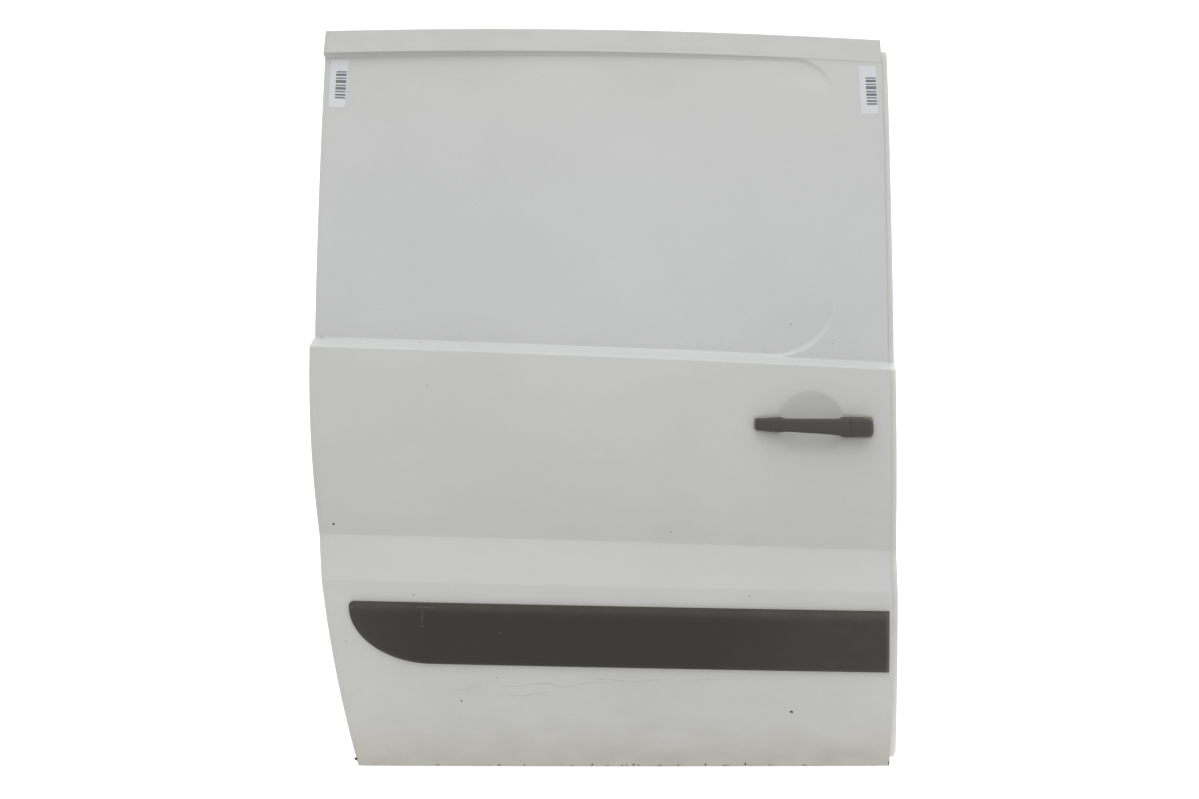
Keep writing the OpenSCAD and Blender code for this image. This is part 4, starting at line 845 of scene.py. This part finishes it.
def plain(name, code, rough, metal=0.0, grain_mm=1.0, grain=0.2, vary=0.08, patch_mm=70.0):
    """A finish with a fine grain, a quarter as high as it is wide, and a slow change of tone."""
    material, tree, shader, place = new_material(name)
    slow = add(tree, NOISE, {"Vector": place, "Scale": MM_PER_M / patch_mm, "Detail": 4.0})
    fine = add(tree, NOISE, {"Vector": place, "Scale": MM_PER_M / grain_mm, "Detail": 2.0})
    tone = add(tree, SPREAD, {
        "Value": slow.outputs[0], **NOISE_SPAN, "To Min": 1 - vary, "To Max": 1 + vary})
    colour = add(tree, "ShaderNodeVectorMath", {
        0: linear(code)[:3], "Scale": tone.outputs[0]}, operation="SCALE")
    tree.links.new(colour.outputs[0], shader.inputs["Base Color"])
    matt = add(tree, SPREAD, {
        "Value": slow.outputs[0], **NOISE_SPAN, "To Min": rough - 0.06, "To Max": rough + 0.06})
    tree.links.new(matt.outputs[0], shader.inputs["Roughness"])
    shader.inputs["Metallic"].default_value = metal
    bump = add(tree, "ShaderNodeBump", {
        "Height": fine.outputs[0], "Strength": grain, "Distance": grain_mm / 4 / MM_PER_M})
    tree.links.new(bump.outputs[0], shader.inputs["Normal"])
    return material


def faded_plastic(name, code, faded, dust_code, rough):
    """Moulded plastic with a leathery grain, greyed by the sun and dusty where the point numbers say."""
    material, tree, shader, place = new_material(name)
    dust = add(tree, "ShaderNodeAttribute", attribute_name="dust").outputs["Fac"]
    fade = add(tree, "ShaderNodeAttribute", attribute_name="fade").outputs["Fac"]
    # Sizes in mm: the moulded grain and its height, blotches and lint
    grain_mm, grain_h, blotch_mm, lint_mm = 1.5625, 0.15, 50.0, 1.1111
    grain = add(tree, "ShaderNodeTexVoronoi", {
        "Vector": place, "Scale": MM_PER_M / grain_mm}, feature="SMOOTH_F1").outputs["Distance"]
    blotch = add(tree, NOISE, {
        "Vector": place, "Scale": MM_PER_M / blotch_mm, "Detail": 5.0, "Roughness": 0.6}).outputs[0]
    lint = add(tree, NOISE, {"Vector": place, "Scale": MM_PER_M / lint_mm, "Detail": 2.0}).outputs[0]
    uneven = add(tree, SPREAD, {"Value": blotch, **NOISE_SPAN, "To Min": 0.6, "To Max": 1.2}).outputs[0]
    grey = add(tree, MATH, {0: fade, 1: uneven}, operation="MULTIPLY").outputs[0]
    base = add(tree, MIX, {
        "Factor": grey, "A": linear(code), "B": linear(faded)}, data_type="RGBA").outputs["Result"]
    covered_colour = add(tree, MIX, {
        "Factor": dust, "A": base, "B": linear(dust_code)}, data_type="RGBA").outputs["Result"]
    tone = add(tree, SPREAD, {"Value": blotch, **NOISE_SPAN, "To Min": 0.92, "To Max": 1.08}).outputs[0]
    speck = add(tree, SPREAD, {
        "Value": lint, "From Min": 0.3, "From Max": 0.75, "To Min": 0.9, "To Max": 1.15}).outputs[0]
    tone = add(tree, MATH, {0: tone, 1: speck}, operation="MULTIPLY").outputs[0]
    colour = add(tree, "ShaderNodeVectorMath", {0: covered_colour, "Scale": tone}, operation="SCALE").outputs[0]
    tree.links.new(colour, shader.inputs["Base Color"])
    matt = add(tree, SPREAD, {
        "Value": blotch, **NOISE_SPAN, "To Min": rough - 0.07, "To Max": rough + 0.07}).outputs[0]
    tree.links.new(matt, shader.inputs["Roughness"])
    bump = add(tree, "ShaderNodeBump", {"Height": grain, "Strength": 0.5, "Distance": grain_h / MM_PER_M})
    tree.links.new(bump.outputs[0], shader.inputs["Normal"])
    return material


# Baked enamel on pressed steel, old: flat grey-white with a dull gloss, and warm road film and painted shade
# low on each field
paint = weathered_paint("old_white_enamel", "C5C5C4", "B8B17E", "918D7E", 0.5, 0.72, 0.38)
# Thin body colour over primer on the inner pressings: greyer and more matt than outside, smudged by hands
inner_paint = plain("thin_inner_enamel", "B9BAB6", 0.5, grain_mm=2.5, grain=0.12, vary=0.09, patch_mm=160.0)
# The front flange took the full spray: creamier and paler than the cabin side
flange_paint = plain("flange_enamel", "D2D2CC", 0.45, grain_mm=2.5, grain=0.12, vary=0.04, patch_mm=120.0)
# Enamel thinned over the weld buttons: a shade darker with a little more gloss
spot_paint = plain("spot_weld_enamel", "A3A4A0", 0.4, grain_mm=0.8, grain=0.3, vary=0.1, patch_mm=8.0)
# Moulded thermoplastic with a fine grain, unpainted: near black, greyed where sun and hands have worn it
plastic = faded_plastic("grained_grey_plastic", "27241E", "484640", "3E3626", 0.62)
# The handle's plastic, rubbed smoother and paler by hands
handle_plastic = faded_plastic("worn_handle_plastic", "3E3C36", "4A4945", "6B5F47", 0.55)
# Injection-moulded cabin plastic: even, dark, with a soft sheen
black_plastic = plain("cabin_plastic", "26262A", 0.5, grain_mm=1.0, grain=0.3)
# Zinc-plated steel: pale, a little blotchy and half bright
zinc = plain("zinc_plated_steel", "B4B3AC", 0.38, metal=1.0, grain_mm=1.5, grain=0.2, patch_mm=25.0)
# Steel with an electro-dipped black coat: smooth satin black
black_steel = plain("dipped_black_steel", "2A2A2A", 0.45, grain_mm=1.5, grain=0.2, patch_mm=30.0)
# Bitumen damping sheet: matt charcoal with a crumbly surface
foam = plain("bitumen_damping_sheet", "3A3A38", 0.85, grain_mm=3.0, grain=0.6)
# Closed-cell foam gasket gone brown with dirt: matt beige
gasket = plain("foam_gasket", "8C8373", 0.85, grain_mm=0.8, grain=0.3, patch_mm=15.0)
# Filled nylon of the rollers: dark grey, half matt
roller = plain("nylon_roller", "3B3B3D", 0.45, grain_mm=1.0, grain=0.2)
# Moulded rubber of buffers and plugs: matt black
rubber = plain("moulded_rubber", "222222", 0.75, grain_mm=1.0, grain=0.3)
# Coated label paper: cool white, greyed by handling
paper = plain("label_paper", "D1D1D3", 0.55, grain_mm=1.0, grain=0.1, vary=0.02, patch_mm=20.0)
# Thermal print: grey, faded and slightly uneven
ink = plain("faded_print", "707074", 0.6, grain_mm=0.8, grain=0.05, vary=0.12, patch_mm=6.0)
# Seam sealer brushed over the hem and painted over: a little creamier and duller than the enamel
sealer = plain("brushed_seam_sealer", "C2BFB4", 0.6, grain_mm=2.0, grain=0.4, vary=0.06, patch_mm=25.0)
# Bare steel under a chip, rusted brown-black and rough
bare = plain("rusted_steel", "4A382B", 0.8, grain_mm=0.6, grain=0.5, vary=0.4, patch_mm=3.0)
# Scuffed enamel: the same paint dulled and a shade darker in the groove
scuffed_paint = plain("scratched_enamel", "AEAFA9", 0.6, grain_mm=0.8, grain=0.1, vary=0.06, patch_mm=12.0)
# Scuffed moulding: the same plastic, rougher and paler where its grain is torn
scuffed_plastic = plain("scuffed_plastic", "4C4A45", 0.7, grain_mm=0.8, grain=0.3, vary=0.15, patch_mm=6.0)

SLOT_MATERIAL = {
    "body_paint": paint, "inner_paint": inner_paint, "zinc_steel": zinc, "black_steel": black_steel,
    "damping_foam": foam, "grey_plastic": plastic, "black_plastic": black_plastic, "gasket": gasket,
    "roller_plastic": roller, "rubber": rubber}
for entry in frame["record"]["subparts"]:
    node = frame["nodes"][entry["node"]]
    finish = flange_paint if entry["node"] == "front_flange" else SLOT_MATERIAL[entry["material_slot"]]
    for material_slot in node.material_slots:
        material_slot.material = finish
    if not node.material_slots:
        node.data.materials.append(finish)
for piece, material, name in (
        (panel, paint, "body_paint"), (moulding, plastic, "grey_plastic"),
        (grip, handle_plastic, "grey_plastic"), (cap, handle_plastic, "grey_plastic"),
        (chips, bare, "body_paint"), (scratches, scuffed_paint, "body_paint"),
        (scuffs, scuffed_plastic, "grey_plastic"),
        (tags, paper, "body_paint"), (bars, ink, "body_paint"), (bolts, zinc, "zinc_steel"),
        (screws, zinc, "zinc_steel"), (beads, sealer, "body_paint"), (spots, spot_paint, "inner_paint")):
    piece.data.materials.append(material)

# Floor, light and camera, in metres: the floor lies a millimetre under the door
FLOOR_Z = -ORIGIN[2] / MM_PER_M - 0.001


def build_floor(front=-6.0, back=1.8, radius=1.6, wall_h=6.0, half_width=9.0, steps=60):
    """A pale sheet: level as far as the back, then a quarter circle up, then upright behind the door."""
    s = np.linspace(0, 1, steps)
    turn = np.clip((s - 0.6) / 0.2, 0, 1) * math.pi / 2
    y = np.where(s < 0.6, front + (back - front) * s / 0.6, back + radius * np.sin(turn))
    z = np.where(s < 0.6, 0, radius * (1 - np.cos(turn))) + np.clip((s - 0.8) / 0.2, 0, 1) * wall_h
    x = np.array([-half_width, half_width])
    rows = np.stack(np.broadcast_arrays(x[None], y[:, None], z[:, None] + FLOOR_Z), -1)
    mesh = bpy.data.meshes.new("studio_floor")
    mesh.from_pydata(rows.reshape(-1, 3).tolist(), [], grid_quads(steps, 2).tolist())
    mesh.polygons.foreach_set("use_smooth", np.ones(len(mesh.polygons), bool))
    floor = bpy.data.objects.new("studio_floor", mesh)
    bpy.context.scene.collection.objects.link(floor)
    # Matt backdrop paper with a glow of its own from just in front of the door on
    material, tree, shader, place = new_material("pale_backdrop")
    shader.inputs["Base Color"].default_value = linear("D0D0D0")
    shader.inputs["Roughness"].default_value = 1.0
    shader.inputs["Emission Color"].default_value = linear("FFFFFF")
    depth = add(tree, "ShaderNodeSeparateXYZ", {0: place}).outputs["Y"]
    near = add(tree, SPREAD, {
        "Value": depth, "From Min": -0.5, "From Max": -0.38, "To Min": 0.0, "To Max": 0.47}).outputs[0]
    under = add(tree, SPREAD, {
        "Value": depth, "From Min": -0.38, "From Max": -0.2, "To Min": 0.0, "To Max": 0.15}).outputs[0]
    glow = add(tree, MATH, {0: near, 1: under}, operation="ADD").outputs[0]
    tree.links.new(glow, shader.inputs["Emission Strength"])
    mesh.materials.append(material)


build_floor()


def soft_light(name, place, aim, size, power):
    """A round area lamp of a width in metres and a power in watts, turned from its place towards its aim."""
    lamp = bpy.data.lights.new(name, "AREA")
    lamp.shape = "DISK"
    lamp.size = size
    lamp.energy = power
    obj = bpy.data.objects.new(name, lamp)
    bpy.context.scene.collection.objects.link(obj)
    obj.location = place
    obj.rotation_euler = (Vector(aim) - Vector(place)).to_track_quat("-Z", "Y").to_euler()


soft_light("overhead", (-0.6, -13.1, 23.0), (-0.4, -0.1, 0.5), 30.0, 1215)
# As under a closed sky, a little blue and three times as bright overhead as at the horizon
SKY_TINT, HORIZON = (0.972, 0.985, 1.0, 1), 0.515
world = bpy.data.worlds.new("soft_room")
world.use_nodes = True
sky_tree = world.node_tree
backdrop = sky_tree.nodes["Background"]
backdrop.inputs[0].default_value = SKY_TINT
direction = add(sky_tree, "ShaderNodeTexCoord").outputs["Generated"]
rise = add(sky_tree, "ShaderNodeSeparateXYZ", {0: direction}).outputs["Z"]
sky = add(sky_tree, SPREAD, {
    "Value": rise, "From Min": 0.0, "From Max": 1.0, "To Min": HORIZON, "To Max": 3 * HORIZON}).outputs[0]
sky_tree.links.new(sky, backdrop.inputs[1])
bpy.context.scene.world = world
bpy.context.scene.view_settings.view_transform = "Standard"

# Camera: nearly square on, from a little forward of the middle at half height; in mm and radians
FOCAL_PX, SHIFT_X_PX, SHIFT_Y_PX, IMAGE_W = 1269.19, 81.63, 23.37, 1199.0
SENSOR_W, CAMERA_PLACE = 36.0, [697.34, -2336.6, 649.03]
LOOK_DOWN, LEAN_SIDE, LOOK_BACK = 0.0079, 0.0017, 0.0069
camera = bpy.data.cameras.new("photo_view")
camera.sensor_width = SENSOR_W
camera.lens = SENSOR_W * FOCAL_PX / IMAGE_W
camera.shift_x = -SHIFT_X_PX / IMAGE_W
camera.shift_y = SHIFT_Y_PX / IMAGE_W
camera.clip_end = 100
camera_obj = bpy.data.objects.new("photo_view", camera)
bpy.context.scene.collection.objects.link(camera_obj)
camera_obj.location = to_row(CAMERA_PLACE)
camera_obj.rotation_euler = (math.pi / 2 - LOOK_DOWN, LEAN_SIDE, LOOK_BACK)
bpy.context.scene.camera = camera_obj
